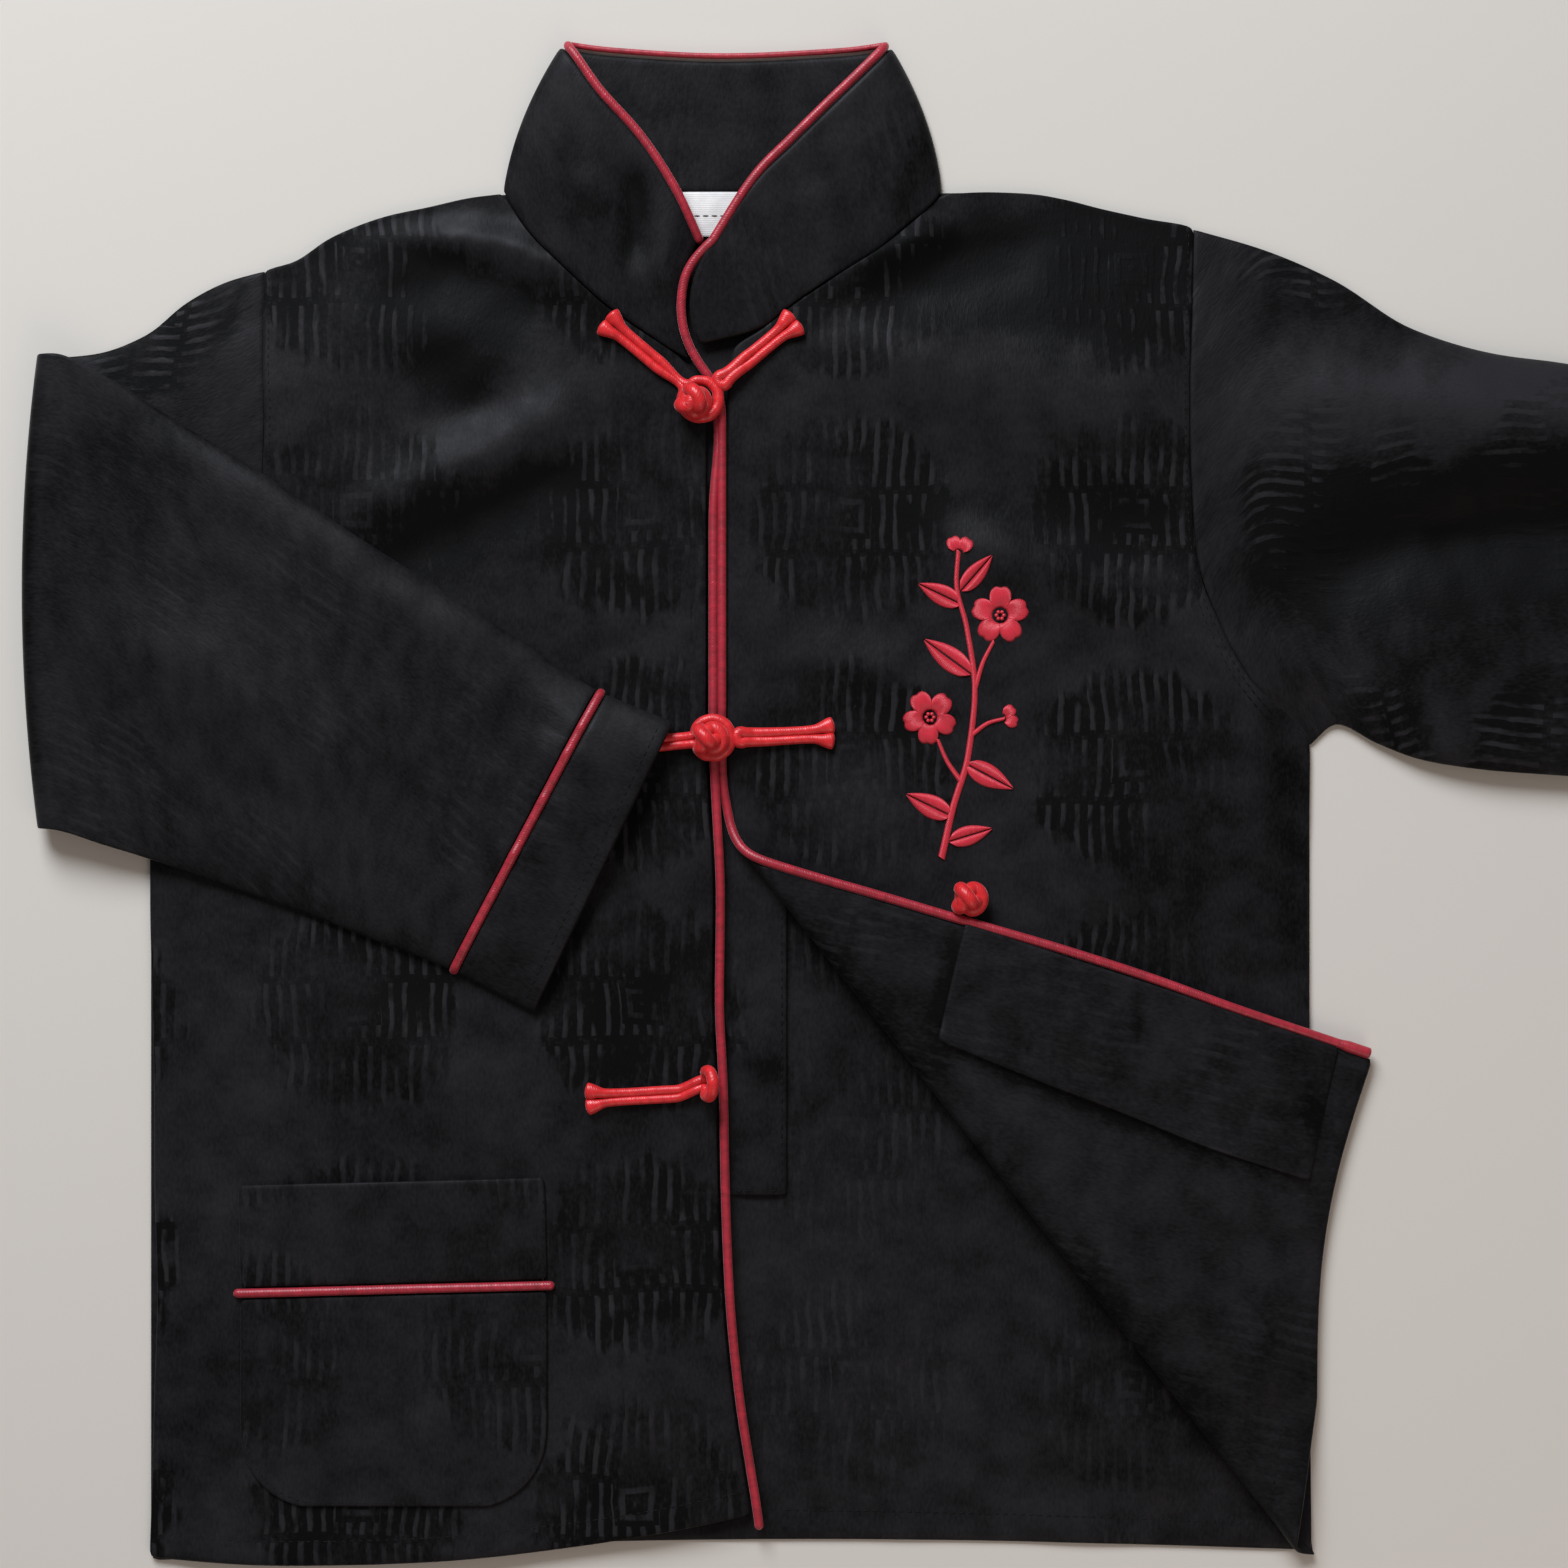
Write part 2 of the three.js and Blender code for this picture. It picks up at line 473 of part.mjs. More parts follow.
// Heights of the two mid layers of a sleeve in its unfolded pattern
function sleeveLayers(folded, x, y, t, row, fromFront) {
  const bulge = Math.sin(Math.PI * t) ** BULGE;
  const room = EDGE_ROOM + (row.room - EDGE_ROOM + CLOTH) * bulge;
  const mid = CLOTH / 2;
  if (!folded || x > SLEEVE_FOLD.x) {
    const own = mid + room;
    const front = underFront(fromFront.x, fromFront.y) + mid;
    return [mid, lerp(own, front, row.curve)];
  }
  const past = SLEEVE_FOLD.x - x - Math.PI * SLEEVE_FOLD.radius;
  if (past <= 0) return [mid, mid + room];
  const world = foldSleeve(x, y, 0);
  const aside = (world.y - OVER_FROG.y) / OVER_FROG.spread;
  const onward = ease((world.x - OVER_FROG.from) / OVER_FROG.run);
  const overFrog = OVER_FROG.lift * onward * Math.exp(-(aside ** 2));
  const atFold = 2 * SLEEVE_FOLD.centre - mid - room;
  const low = lerp(atFold, SLEEVE_REST + mid + overFrog, ease(past / SLEEVE_FOLD.settle));
  return [2 * SLEEVE_FOLD.centre - low - room, 2 * SLEEVE_FOLD.centre - low];
}

function sleeveRing(side, run, proud) {
  const { table, armhole, folded, shift } = side;
  const row = rowAt(table, run);
  const [first, last] = [armhole[0], armhole[armhole.length - 1]];
  const low = [];
  const high = [];
  const width = Math.hypot(row.lx - row.ux, row.ly - row.uy);
  const inset = EDGE_INSET / width;
  const direction = [(row.lx - row.ux) / width, (row.ly - row.uy) / width];
  for (const [ax, ay] of armhole) {
    const t = (first[1] - ay) / (first[1] - last[1]);
    const curve = row.curve * (ax - lerp(first[0], last[0], t));
    const inner = lerp(inset, 1 - inset, t);
    const x = lerp(row.ux, row.lx, lerp(inner, t, row.curve)) + curve + shift;
    const y = lerp(row.uy, row.ly, lerp(inner, t, row.curve));
    const [bottom, top] = sleeveLayers(folded, x, y, t, row, { x: ax, y: ay });
    low.push({ x, y, u: t * width, z: bottom });
    high.push({ x, y, u: t * width, z: top });
  }
  const edge = (a, b, sign) => {
    const reach = EDGE_REACH * sign;
    return { x: a.x + direction[0] * reach, y: a.y + direction[1] * reach, u: a.u + reach, z: (a.z + b.z) / 2 };
  };
  const ring = [...low, edge(low.at(-1), high.at(-1), 1), ...high.reverse(), edge(low[0], high.at(-1), -1)];
  const place = folded ? foldSleeve : V;
  const offset = (reachOf) => ring.map((p, i) => {
    const before = ring[(i + ring.length - 1) % ring.length];
    const after = ring[(i + 1) % ring.length];
    const leg = (a, b) => {
      const length = Math.hypot(b.u - a.u, b.z - a.z);
      return [(b.z - a.z) / length, -(b.u - a.u) / length];
    };
    const [n1, n2] = [leg(before, p), leg(p, after)];
    const sum = [n1[0] + n2[0], n1[1] + n2[1]];
    const scale = 2 / (sum[0] ** 2 + sum[1] ** 2);
    const reach = reachOf(i) * Math.min(scale, MITRE_LIMIT);
    return place(
      p.x + direction[0] * sum[0] * reach,
      p.y + direction[1] * sum[0] * reach,
      p.z + sum[1] * reach,
    );
  });
  const visible = (i) => (folded ? i < low.length : i >= low.length);
  const outer = offset((i) => CLOTH / 2 + (visible(i) ? proud : 0));
  const inner = offset(() => -CLOTH / 2);
  return [outer, inner];
}

const SIDES = {
  right: { table: SLEEVE_RIGHT, armhole: ARMHOLE_RIGHT, folded: true, shift: -SEAM },
  left: { table: SLEEVE_LEFT, armhole: ARMHOLE_LEFT, folded: false, shift: SEAM },
};

function sleeveTube(name, material, side, runs, prouds) {
  const rings = runs.map((run, i) => sleeveRing(side, run, prouds ? prouds[i] : 0));
  return tube(name, material, rings.map((r) => r[0]), rings.map((r) => r[1]));
}

function sleeve(key) {
  const side = SIDES[key];
  const end = side.table.at(-1).run;
  const seam = end - CUFF;
  const runs = side.table.map((row) => row.run).filter((run) => run < seam - CUFF_SEAM_CLEAR);
  if (side.folded) {
    const start = side.table.find((row) => row.ux <= SLEEVE_FOLD.x).run;
    const turn = side.table.find((row) => row.run > start).run - start;
    for (let i = 1; i < ROLL_STEPS; i += 1) runs.push(start + (turn * i) / ROLL_STEPS);
    runs.sort((a, b) => a - b);
  }
  runs.push(seam - EDGE_STEP);
  const half = PIPING / 2;
  const proud = CUFF_PIPING_RINGS.map((across) => Math.sqrt(1 - across ** 2) * (half - CLOTH / 2));
  const rings = CUFF_PIPING_RINGS.map((across) => seam + across * half);
  return [
    sleeveTube(`sleeve_${key}`, 'cloth', side, runs),
    sleeveTube(`cuff_piping_${key}`, 'piping', side, rings, proud),
    sleeveTube(`cuff_${key}`, 'cloth', side, [seam + EDGE_STEP, seam + CUFF / 2, end]),
  ];
}

// Collar: a standing band pressed flat, its back under its two front ends
function collarPoint(station, fraction) {
  const bend = station.bow * 4 * fraction * (1 - fraction);
  return V(
    lerp(station.bx, station.tx, fraction) + bend,
    lerp(station.by, station.ty, fraction),
    lerp(station.bz, station.tz, fraction),
  );
}

function collar() {
  const middle = COLLAR.map((station) => {
    const height = Math.hypot(station.tx - station.bx, station.ty - station.by);
    const [foot, top] = [SEAM / height, 1 - (PIPING + COLLAR_CLEAR) / height];
    const share = (j) => lerp(foot, top, j / COLLAR_ROWS);
    return Array.from({ length: COLLAR_ROWS + 1 }, (_, j) => collarPoint(station, share(j)));
  });
  const pick = (i, j) => {
    const row = middle[THREE.MathUtils.clamp(i, 0, middle.length - 1)];
    return row[THREE.MathUtils.clamp(j, 0, COLLAR_ROWS)].clone();
  };
  const normal = (i, j) => {
    const before = pick(i, j).sub(pick(i - 1, j)).normalize();
    const after = pick(i + 1, j).sub(pick(i, j)).normalize();
    const up = pick(i, j + 1).sub(pick(i, j - 1));
    return before.add(after).cross(up).normalize();
  };
  const moved = (i, j, reach) => pick(i, j).addScaledVector(normal(i, j), reach);
  const side = (reach) => middle.map((row, i) => row.map((_, j) => moved(i, j, reach)));
  return sheet('collar', 'cloth', side(-CLOTH / 2), side(CLOTH / 2));
}

// Piping round the collar's top edge, from the right front's end to the left front's
function collarPiping() {
  const half = PIPING / 2;
  const points = COLLAR.map((station) => {
    const height = Math.hypot(station.tx - station.bx, station.ty - station.by);
    const p = collarPoint(station, 1 - half / height);
    return V(p.x, p.y, Math.max(p.z, half + GAP));
  });
  return cord('collar_piping', 'piping', points.slice(0, -1), PIPING, ALONG.collar, PIPING_SIDES);
}

function rightPiping() {
  const edge = ROWS_RIGHT.slice(1).map(([, , ex, ey]) => [ex + EDGE_STEP, ey]);
  edge[0][1] = UNDER_KNOT_Y;
  edge.push(RIGHT_PIPING_END);
  const points = edge.map(([x, y]) => V(x, y, PIPING_Z));
  return cord('piping_right_front', 'piping', points, PIPING, ALONG.rightFront, PIPING_SIDES);
}

// Piping down the left front: the collar's end, the closed edge, then the turned-back edge
function leftPiping() {
  const closed = COLLAR_END.map(([x, y]) => V(x, y, PIPING_Z));
  const edge = ROWS_LEFT.slice(2).map(([, , ex, ey]) => {
    const x = ex - EDGE_STEP - (pastFold(ex, ey) > PIPING_TURN.from ? PIPING_TURN.clear : 0);
    const z = underPattern(x, ey) + PIPING / 2;
    return turnBack(x, ey, pastFold(x, ey) < 0 ? Math.max(z, PIPING_Z) : z);
  });
  return cord('piping_left_front', 'piping', [...closed, ...edge], PIPING, ALONG.leftFront, PIPING_SIDES);
}

// Patch pocket on the right front
function onFront(x, y, height) {
  return V(x, y, overFront(x, y) + height);
}

function pocketSheet(name, rows) {
  const layer = (height) => rows.map(({ left, right, y, tilt }) => (
    Array.from({ length: POCKET_COLUMNS + 1 }, (_, j) => {
      const t = j / POCKET_COLUMNS;
      return onFront(lerp(left, right, t), y + tilt * t, height);
    })
  ));
  return sheet(name, 'cloth', layer(GAP), layer(GAP + CLOTH));
}

function pocket() {
  const { left, right, bottom, top, rise, corner, bandTop, widen } = POCKET;
  const rounded = Array.from({ length: POCKET_CORNER_STEPS + 1 }, (_, j) => {
    const angle = (j / POCKET_CORNER_STEPS) * (Math.PI / 2);
    const inset = corner * (1 - Math.sin(angle));
    return { left: left + inset, right: right - inset, y: bottom + corner * (1 - Math.cos(angle)), tilt: 0 };
  });
  const patch = [...rounded, { left, right, y: top - EDGE_STEP, tilt: rise }];
  const band = [
    { left, right, y: top + EDGE_STEP, tilt: rise },
    { left: left - widen, right: right - widen, y: bandTop, tilt: rise },
  ];
  const line = Array.from({ length: POCKET_PIPING_STEPS + 1 }, (_, j) => {
    const t = j / POCKET_PIPING_STEPS;
    return onFront(lerp(left - widen, right + widen, t), top + rise * t, GAP + PIPING / 2);
  });
  return [
    pocketSheet('pocket', patch),
    pocketSheet('pocket_band', band),
    cord('pocket_piping', 'piping', line, PIPING, ALONG.pocket, PIPING_SIDES),
  ];
}

// Frogs: a doubled cord with flared ends, its far end a loop or a tight turn
function doubledCord(end, centre, loop) {
  const [dx, dy] = [centre[0] - end[0], centre[1] - end[1]];
  const length = Math.hypot(dx, dy);
  const apart = CORD / 2 + GAP;
  const near = Math.sqrt(Math.max(loop ** 2 - apart ** 2, 0));
  const flare = FLARE.map(([u, v]) => [u, apart + v]);
  const local = [...flare, [(length + FLARE.at(-1)[0] - near) / 2, apart]];
  const arc = [];
  const start = Math.PI - Math.atan2(apart, near);
  for (let i = 0; i <= LOOP_STEPS; i += 1) {
    const turn = lerp(start, -start, i / LOOP_STEPS);
    arc.push([length + loop * Math.cos(turn), loop * Math.sin(turn)]);
  }
  const mirrored = [...local].reverse().map(([u, v]) => [u, -v]);
  return [...local, ...arc, ...mirrored].map(([u, v]) => [
    end[0] + (dx * u - dy * v) / length,
    end[1] + (dy * u + dx * v) / length,
  ]);
}

// Rest height of a frog's cord on the fronts, raised where it crosses the two lines of piping
function frogHeight(x, y) {
  const piping = PIPING_Z + PIPING / 2 + 2 * GAP;
  const crossing = ease((PIPING_CROSSING.half - Math.abs(x - PIPING_CROSSING.x)) / PIPING_CROSSING.run);
  return lerp(overFront(x, y) + GAP, Math.max(piping, overFront(x, y) + GAP), crossing) + CORD / 2;
}

function knotBall(name, x, y, z) {
  const ball = new THREE.SphereGeometry(KNOT.radius, KNOT.around, KNOT.rows);
  const mesh = new THREE.Mesh(ball, new THREE.MeshStandardMaterial(COLOURS.frog));
  mesh.name = name;
  mesh.scale.z = KNOT.flat;
  mesh.position.set(x, y, z);
  return mesh;
}

function frogCord(name, plan, place, steps) {
  return cord(name, 'frog', plan.map(([x, y]) => place(x, y)), CORD, steps, CORD_SIDES);
}

function frogs() {
  const meshes = [];
  const onTop = (x, y) => V(x, y, frogHeight(x, y));
  for (const { name, knot, loopEnd, tailEnd } of FROGS) {
    const loop = doubledCord(loopEnd, knot, FROG_LOOP);
    meshes.push(frogCord(`${name}_loop`, loop, onTop, ALONG.loop));
    const [dx, dy] = [tailEnd[0] - knot[0], tailEnd[1] - knot[1]];
    const length = Math.hypot(dx, dy);
    const reach = FROG_LOOP + CORD + TAIL_CLEAR;
    const turn = [knot[0] + (dx * reach) / length, knot[1] + (dy * reach) / length];
    const tail = doubledCord(tailEnd, turn, CORD / 2 + GAP);
    meshes.push(frogCord(`${name}_tail`, tail, onTop, ALONG.tail));
    meshes.push(knotBall(`${name}_knot`, knot[0], knot[1], frogHeight(...knot) + KNOT.above));
  }
  const { end, centre, radius } = EMPTY_LOOP;
  const empty = doubledCord(end, centre, radius);
  meshes.push(frogCord('frog_3_loop', empty, onTop, ALONG.emptyLoop));
  const tail = doubledCord(TURNED_FROG.end, TURNED_FROG.turn, CORD / 2 + GAP);
  const under = (x, y) => turnBack(x, y, underPattern(x, y) + CLOTH + GAP + CORD / 2);
  meshes.push(frogCord('frog_3_tail', tail, under, ALONG.tail));
  const spot = under(...TURNED_FROG.knot);
  const height = overFront(spot.x, spot.y) + GAP + KNOT.radius * KNOT.flat;
  meshes.push(knotBall('frog_3_knot', spot.x, spot.y, height));
  return meshes;
}

function label() {
  const [wide, high] = [LABEL.right - LABEL.left, LABEL.top - LABEL.bottom];
  const geometry = new THREE.BoxGeometry(wide, high, LABEL.thick);
  const mesh = new THREE.Mesh(geometry, new THREE.MeshStandardMaterial(COLOURS.label));
  mesh.name = 'label';
  mesh.position.set(LABEL.left + wide / 2, LABEL.bottom + high / 2, CLOTH + GAP + LABEL.thick / 2);
  return mesh;
}

const jacket = new THREE.Group();
jacket.add(
  back(),
  frontRight(),
  frontLeft(),
  facing(),
  placket(),
  ...sleeve('right'),
  ...sleeve('left'),
  collar(),
  collarPiping(),
  rightPiping(),
  leftPiping(),
  ...pocket(),
  ...frogs(),
  label(),
);

// The origin is the middle of the box, on the surface that the jacket lies on
const box = new THREE.Box3().setFromObject(jacket);
jacket.position.set(-(box.min.x + box.max.x) / 2, -(box.min.y + box.max.y) / 2, 0);

export default jacket;
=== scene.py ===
# Looks of a child's tai chi jacket laid out flat, in metres: +Z up, the wearer's right on the -X side.
# The tables keep x = 0 at the centre front and y = 0 at the hem, and new_piece moves each mesh to the frame.
import math

import bmesh
import bpy
import mathutils
import numpy as np
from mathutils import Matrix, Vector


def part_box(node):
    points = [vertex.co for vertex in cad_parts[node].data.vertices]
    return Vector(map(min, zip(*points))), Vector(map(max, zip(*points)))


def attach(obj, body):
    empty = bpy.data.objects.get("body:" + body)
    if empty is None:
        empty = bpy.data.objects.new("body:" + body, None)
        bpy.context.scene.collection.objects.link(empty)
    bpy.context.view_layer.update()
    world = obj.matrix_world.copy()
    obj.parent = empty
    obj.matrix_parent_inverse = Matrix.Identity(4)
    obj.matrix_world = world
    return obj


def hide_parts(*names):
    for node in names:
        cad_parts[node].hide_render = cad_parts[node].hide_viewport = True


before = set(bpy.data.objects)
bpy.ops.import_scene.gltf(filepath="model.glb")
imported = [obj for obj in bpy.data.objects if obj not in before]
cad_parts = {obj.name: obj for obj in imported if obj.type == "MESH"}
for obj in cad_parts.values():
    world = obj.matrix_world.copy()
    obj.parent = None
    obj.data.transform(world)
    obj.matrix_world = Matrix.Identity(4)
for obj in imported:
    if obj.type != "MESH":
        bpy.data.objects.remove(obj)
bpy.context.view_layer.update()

# Driving dimensions
CLOTH = 0.001             # one layer of cloth
CUFF_CLOTH = 0.0016       # the cuff band and the collar are made of more layers
GAP = 0.0003
GRID = 0.0042             # spacing of a panel's points before it is smoothed
BACK_GRID = 0.0058        # the back is mostly covered, so its points are further apart
BACK_COLUMNS = 74
FRONT_COLUMNS = 54
LEFT_COLUMNS = {"before": 36, "rolled": 8, "after": 36}     # of the left front, before, in and after its fold
FACING_GRID = (48, 18)
PIPING = 0.0034
CORD = 0.0034
SIDE_RIGHT = -0.217
SIDE_LEFT = 0.223
UNDERARM_Y = 0.3081
NECK_BACK_Y = 0.5168
EDGE_STEP = 0.002         # from an edge of the cloth to the middle of its piping
HEM = 0.0095              # depth of the turned-up hem
HEM_EXTRA = 1.6           # how much thicker the hem is than one layer
HEM_CURVE = 0.06          # a hem's curve fades out this far above it

# Heights of the middle of the cloth
BACK_Z = 0.0006
SEAM_Z = 0.0021           # of a front at its side and shoulder seams
BODY_Z = 0.0056           # of a front inside those seams
LIFT_WIDTH = 0.045
PLACKET_Z = 0.0021

# The wearer's right sleeve is folded over the front about an upright line
SLEEVE_FOLD = {"x": -0.2576, "centre": 0.007, "radius": 0.0044, "settle": 0.06}
SLEEVE_BOW = {"reach": 0.006, "y": 0.366, "half": 0.089, "fade": 0.045}
SLEEVE_CLEAR = 0.0012     # from the front's top to the middle of the folded sleeve's lower layer

# The lower half of the wearer's left front is turned back about a slanting line
FLAP_TOP = np.array((0.0068, 0.2759))
FLAP_FOOT = np.array((0.2208, 0.0057))
FLAP = {"radius": 0.0039, "under": 0.0036, "clear": 0.0042, "rise": 0.03, "settle": 0.04}
DROOP = {"depth": 0.003, "start": 0.2, "run": 0.035, "lowest": 0.0042}   # of its corner past the side

OVER_FROG = {"lift": 0.0042, "start": -0.075, "run": 0.025, "y": 0.307, "spread": 0.02}
SLEEVE_TOP = 0.0052       # of the unfolded part of the right sleeve, under its folded part
FOLD_RUNS = (0.088, 0.108)
LOFT = {"height": 0.006, "run": 0.13, "half": 0.09}      # of the left sleeve's lower edge
FLAP_HEM_BEND = 0.007     # the turned-back hem curves in between its corner and the fold
HEM_SAG = -0.009          # the right front's hem curves down between its ends by this much
BACK_HEM_Y = {"right": -0.0015, "left": 0.0026}
BACK_HEM_RISE = 0.006     # the back's hem curves up between those ends by this much
COLLAR_STAND = {"foot": 0.0012, "top": 0.0034, "belly": 0.0012}
COLLAR_PIPING_TOP = 0.0086
COLLAR_BEHIND = {"low": 0.0012, "run": 0.004, "radius": 0.0011}    # less of the piping shows at the back
UNDER_KNOT_Y = 0.434      # the right front's piping starts under the first frog
RIGHT_PIPING_END = (0.0135, 0.013)
LEFT_PIPING_SHORT = 0.0022      # it ends this far inside the hem's corner
# Its end is tucked in, so it is thicker there and closer to the cloth
PIPING_TUCK = {"run": 0.008, "fade": 0.004, "wide": 0.28, "in": 0.0007}
PIPINGS_TOUCH = 0.0005    # how far the right front's piping is pressed against the left one's
POCKET = {"left": -0.182, "right": -0.0658, "bottom": 0.02, "top": 0.101, "rise": 0.003, "corner": 0.028,
          "band_top": 0.142}
PLACKET = {"left": -0.015, "right": 0.0246, "bottom": 0.1372, "top": 0.44}
LABEL = {"left": -0.0159, "right": 0.0087, "bottom": 0.5005, "top": 0.5178}
LABEL_CLOTH = 0.0005
LABEL_Z = BACK_Z + CLOTH + 0.0003
LABEL_BULGE = 0.0007

# Frogs: flared ends, the place of the knot and how its ball lies in the loop
FROGS = [
    {"name": "frog_1", "knot": (-0.0083, 0.4385), "loop_end": (-0.0435, 0.468), "tail_end": (0.0275, 0.468),
     "ball": (-0.0022, -0.0014), "turn": 0.35, "bend": 0.0},
    {"name": "frog_2", "knot": (-0.0038, 0.3107), "loop_end": (-0.049, 0.3065), "tail_end": (0.0415, 0.3115),
     "ball": (-0.0012, -0.0004), "turn": 1.1, "bend": 0.0014},
]
FROG_LOOP = 0.0071
CORD_STEP = 0.0008        # from one point of a cord to the next
FLARE = [(0.0, 0.0014), (0.003, 0.0009), (0.0065, 0.0002), (0.011, 0.0)]
FLARED = {"wide": 0.85, "run": 0.004, "loop": 0.32, "loop_run": 0.014}
CROSSING = {"half": 0.015, "run": 0.008, "x": -0.002, "rise": 0.002}
KNOT = {"ball": 0.004, "cord": 0.0027, "weave": 0.001, "reach": 0.95, "bights": 3, "leads": 2,
        "lean": 58.0, "above": 0.008}
EMPTY_LOOP = {"end": (-0.0505, 0.1746), "centre": (-0.0016, 0.1772), "radius": 0.005, "stand_from": -0.0078,
              "lean": 1.14, "rise": 0.0036, "rise_from": -0.018}
TURNED_FROG = {"end": (0.0505, 0.181), "turn": (0.0175, 0.181), "against": (0.0012, -0.0022)}

# Embroidered sprig: stems, leaves, blossoms and buds in thread
THREAD = 0.00062
THREAD_STEP = 0.0005
SEED = 0.00075            # radius of the small balls in a blossom's middle
SEED_RING = 0.0014        # radius of the ring that they make
SPRIG = {
    "stems": [
        (0.0014, [(0.083, 0.2655), (0.0872, 0.284), (0.093, 0.304), (0.0955, 0.329), (0.0925, 0.352),
                  (0.0885, 0.37), (0.0892, 0.381)]),
        (0.00105, [(0.0955, 0.329), (0.0985, 0.339), (0.1025, 0.347)]),
        (0.00105, [(0.0905, 0.294), (0.085, 0.302), (0.0815, 0.31)]),
        (0.00095, [(0.0945, 0.312), (0.101, 0.3165), (0.1065, 0.318)]),
    ],
    "leaves": [
        (0.0044, (0.0945, 0.3345), (0.0762, 0.348)), (0.0042, (0.092, 0.301), (0.11, 0.2915)),
        (0.0042, (0.087, 0.281), (0.0695, 0.2895)), (0.0036, (0.0855, 0.2715), (0.102, 0.2765)),
        (0.0038, (0.0908, 0.361), (0.0742, 0.369)), (0.0034, (0.09, 0.366), (0.1018, 0.3795)),
    ],
    "blossoms": [((0.105, 0.357), 0.0112, 0.3), ((0.0785, 0.3185), 0.0106, 0.85)],
    "buds": [((0.0892, 0.38), 0.0074, 1.45), ((0.1056, 0.318), 0.0066, 0.25)],
}

# Colours of the cloth's darkest and lightest threads, which painted shade and painted highlight also reach,
# and of the label's
CLOTH_DARK = (0.001, 0.001, 0.0012)
CLOTH_BRIGHT = (0.0178, 0.0169, 0.0192)
LABEL_DARK = (0.62, 0.61, 0.59)
LABEL_BRIGHT = (0.82, 0.81, 0.79)

# Sewing
STITCH = 0.0023
STITCH_STEP = 0.0033
STITCH_THREAD = 0.00042
SEWING_STEP = 0.003       # from one point of a sewn line to the next
SEWING_ROWS = (0.002, 0.0046)      # of the left armhole; the second is sewn in its lower part only

# Camera, lights and floor
PHOTO = {"x": 0.0234, "y": 0.2933, "width": 0.5927, "above": 1.35}
LIGHTS = [
    ("key", (-0.75, 1.75, 1.5), (-0.05, 0.0, 0.0), 1.3, 70.0, (0.88, 0.93, 1.0)),
    ("fill", (0.45, -1.3, 1.1), (-0.05, 0.0, 0.0), 1.3, 6.0, (1.0, 0.78, 0.66)),
]
WORLD_COLOUR = (1.0, 0.96, 0.93)
WORLD_STRENGTH = 0.2
FLOOR_COLOUR = (0.62, 0.585, 0.535)
FLOOR_HALF = 4.0
FLOOR_Z = -0.0003

# Section tables: the same sections as the CAD model, in metres
ARMHOLE_RIGHT = [
    (-0.1739, 0.4876), (-0.1739, 0.4574), (-0.1731, 0.4309), (-0.1746, 0.4007), (-0.1784, 0.3742),
    (-0.1845, 0.3553), (-0.1958, 0.3326), (SIDE_RIGHT, UNDERARM_Y),
]
ARMHOLE_LEFT = [
    (0.1788, 0.5035), (0.178, 0.4763), (0.1769, 0.4385), (0.178, 0.4007), (0.1807, 0.3742),
    (0.1875, 0.3553), (0.1996, 0.3326), (SIDE_LEFT, UNDERARM_Y),
]
SHOULDER_RIGHT = [
    (-0.084, 0.5168), (-0.0953, 0.5155), (-0.111, 0.512), (-0.1274, 0.5085), (-0.1482, 0.5005),
    (-0.1633, 0.4906),
]
SHOULDER_LEFT = [
    (0.0845, 0.5168), (0.1, 0.5176), (0.1164, 0.517), (0.13, 0.5148), (0.1429, 0.5115),
    (0.161, 0.5075),
]
NECK_RIGHT = [
    (-0.0824, 0.5154), (-0.0726, 0.5009), (-0.0612, 0.4895), (-0.0423, 0.4725), (-0.0272, 0.4623),
    (-0.017, 0.4555),
]
NECK_LEFT = [
    (0.0829, 0.516), (0.073, 0.5065), (0.0597, 0.4952), (0.0446, 0.4857), (0.0295, 0.4763),
    (0.0144, 0.4649),
]
FRONT_EDGE_RIGHT = [
    (-0.013, 0.4515), (-0.0068, 0.441), (-0.0059, 0.424), (-0.0059, 0.398), (-0.0059, 0.373),
    (-0.0059, 0.354), (-0.0059, 0.333), (-0.0059, 0.31),
]
ROWS_RIGHT = [
    *((*side, *edge) for side, edge in zip(ARMHOLE_RIGHT, FRONT_EDGE_RIGHT)),
    (SIDE_RIGHT, 0.287, -0.0048, 0.287), (-0.217, 0.25, -0.0031, 0.25),
    (-0.2162, 0.2117, -0.0035, 0.2117), (-0.2155, 0.177, -0.002, 0.1777),
    (-0.2153, 0.14, -0.0013, 0.141), (-0.2143, 0.1, 0.0003, 0.101),
    (-0.2155, 0.06, 0.004, 0.062), (-0.2163, 0.028, 0.008, 0.036),
    (-0.2172, 0.0, 0.011, 0.017),
]
FRONT_EDGE_LEFT = [
    (0.004, 0.4575), (0.0019, 0.444), (0.0019, 0.424), (0.0019, 0.396), (0.0019, 0.372),
    (0.0019, 0.354), (0.0019, 0.334), (0.0019, 0.316),
]
ROWS_LEFT = [
    *((*side, *edge) for side, edge in zip(ARMHOLE_LEFT, FRONT_EDGE_LEFT)),
    (0.2228, 0.285, 0.0019, 0.299), (0.2223, 0.266, 0.0046, 0.28), (0.2223, 0.248, 0.0074, 0.266),
    (0.2225, 0.215, 0.0096, 0.24), (0.2228, 0.178, 0.011, 0.212), (0.223, 0.138, 0.013, 0.178),
    (0.223, 0.096, 0.0147, 0.145), (0.223, 0.062, 0.0176, 0.108), (0.223, 0.03, 0.0215, 0.068),
    (0.223, 0.0015, 0.0263, 0.0152),
]
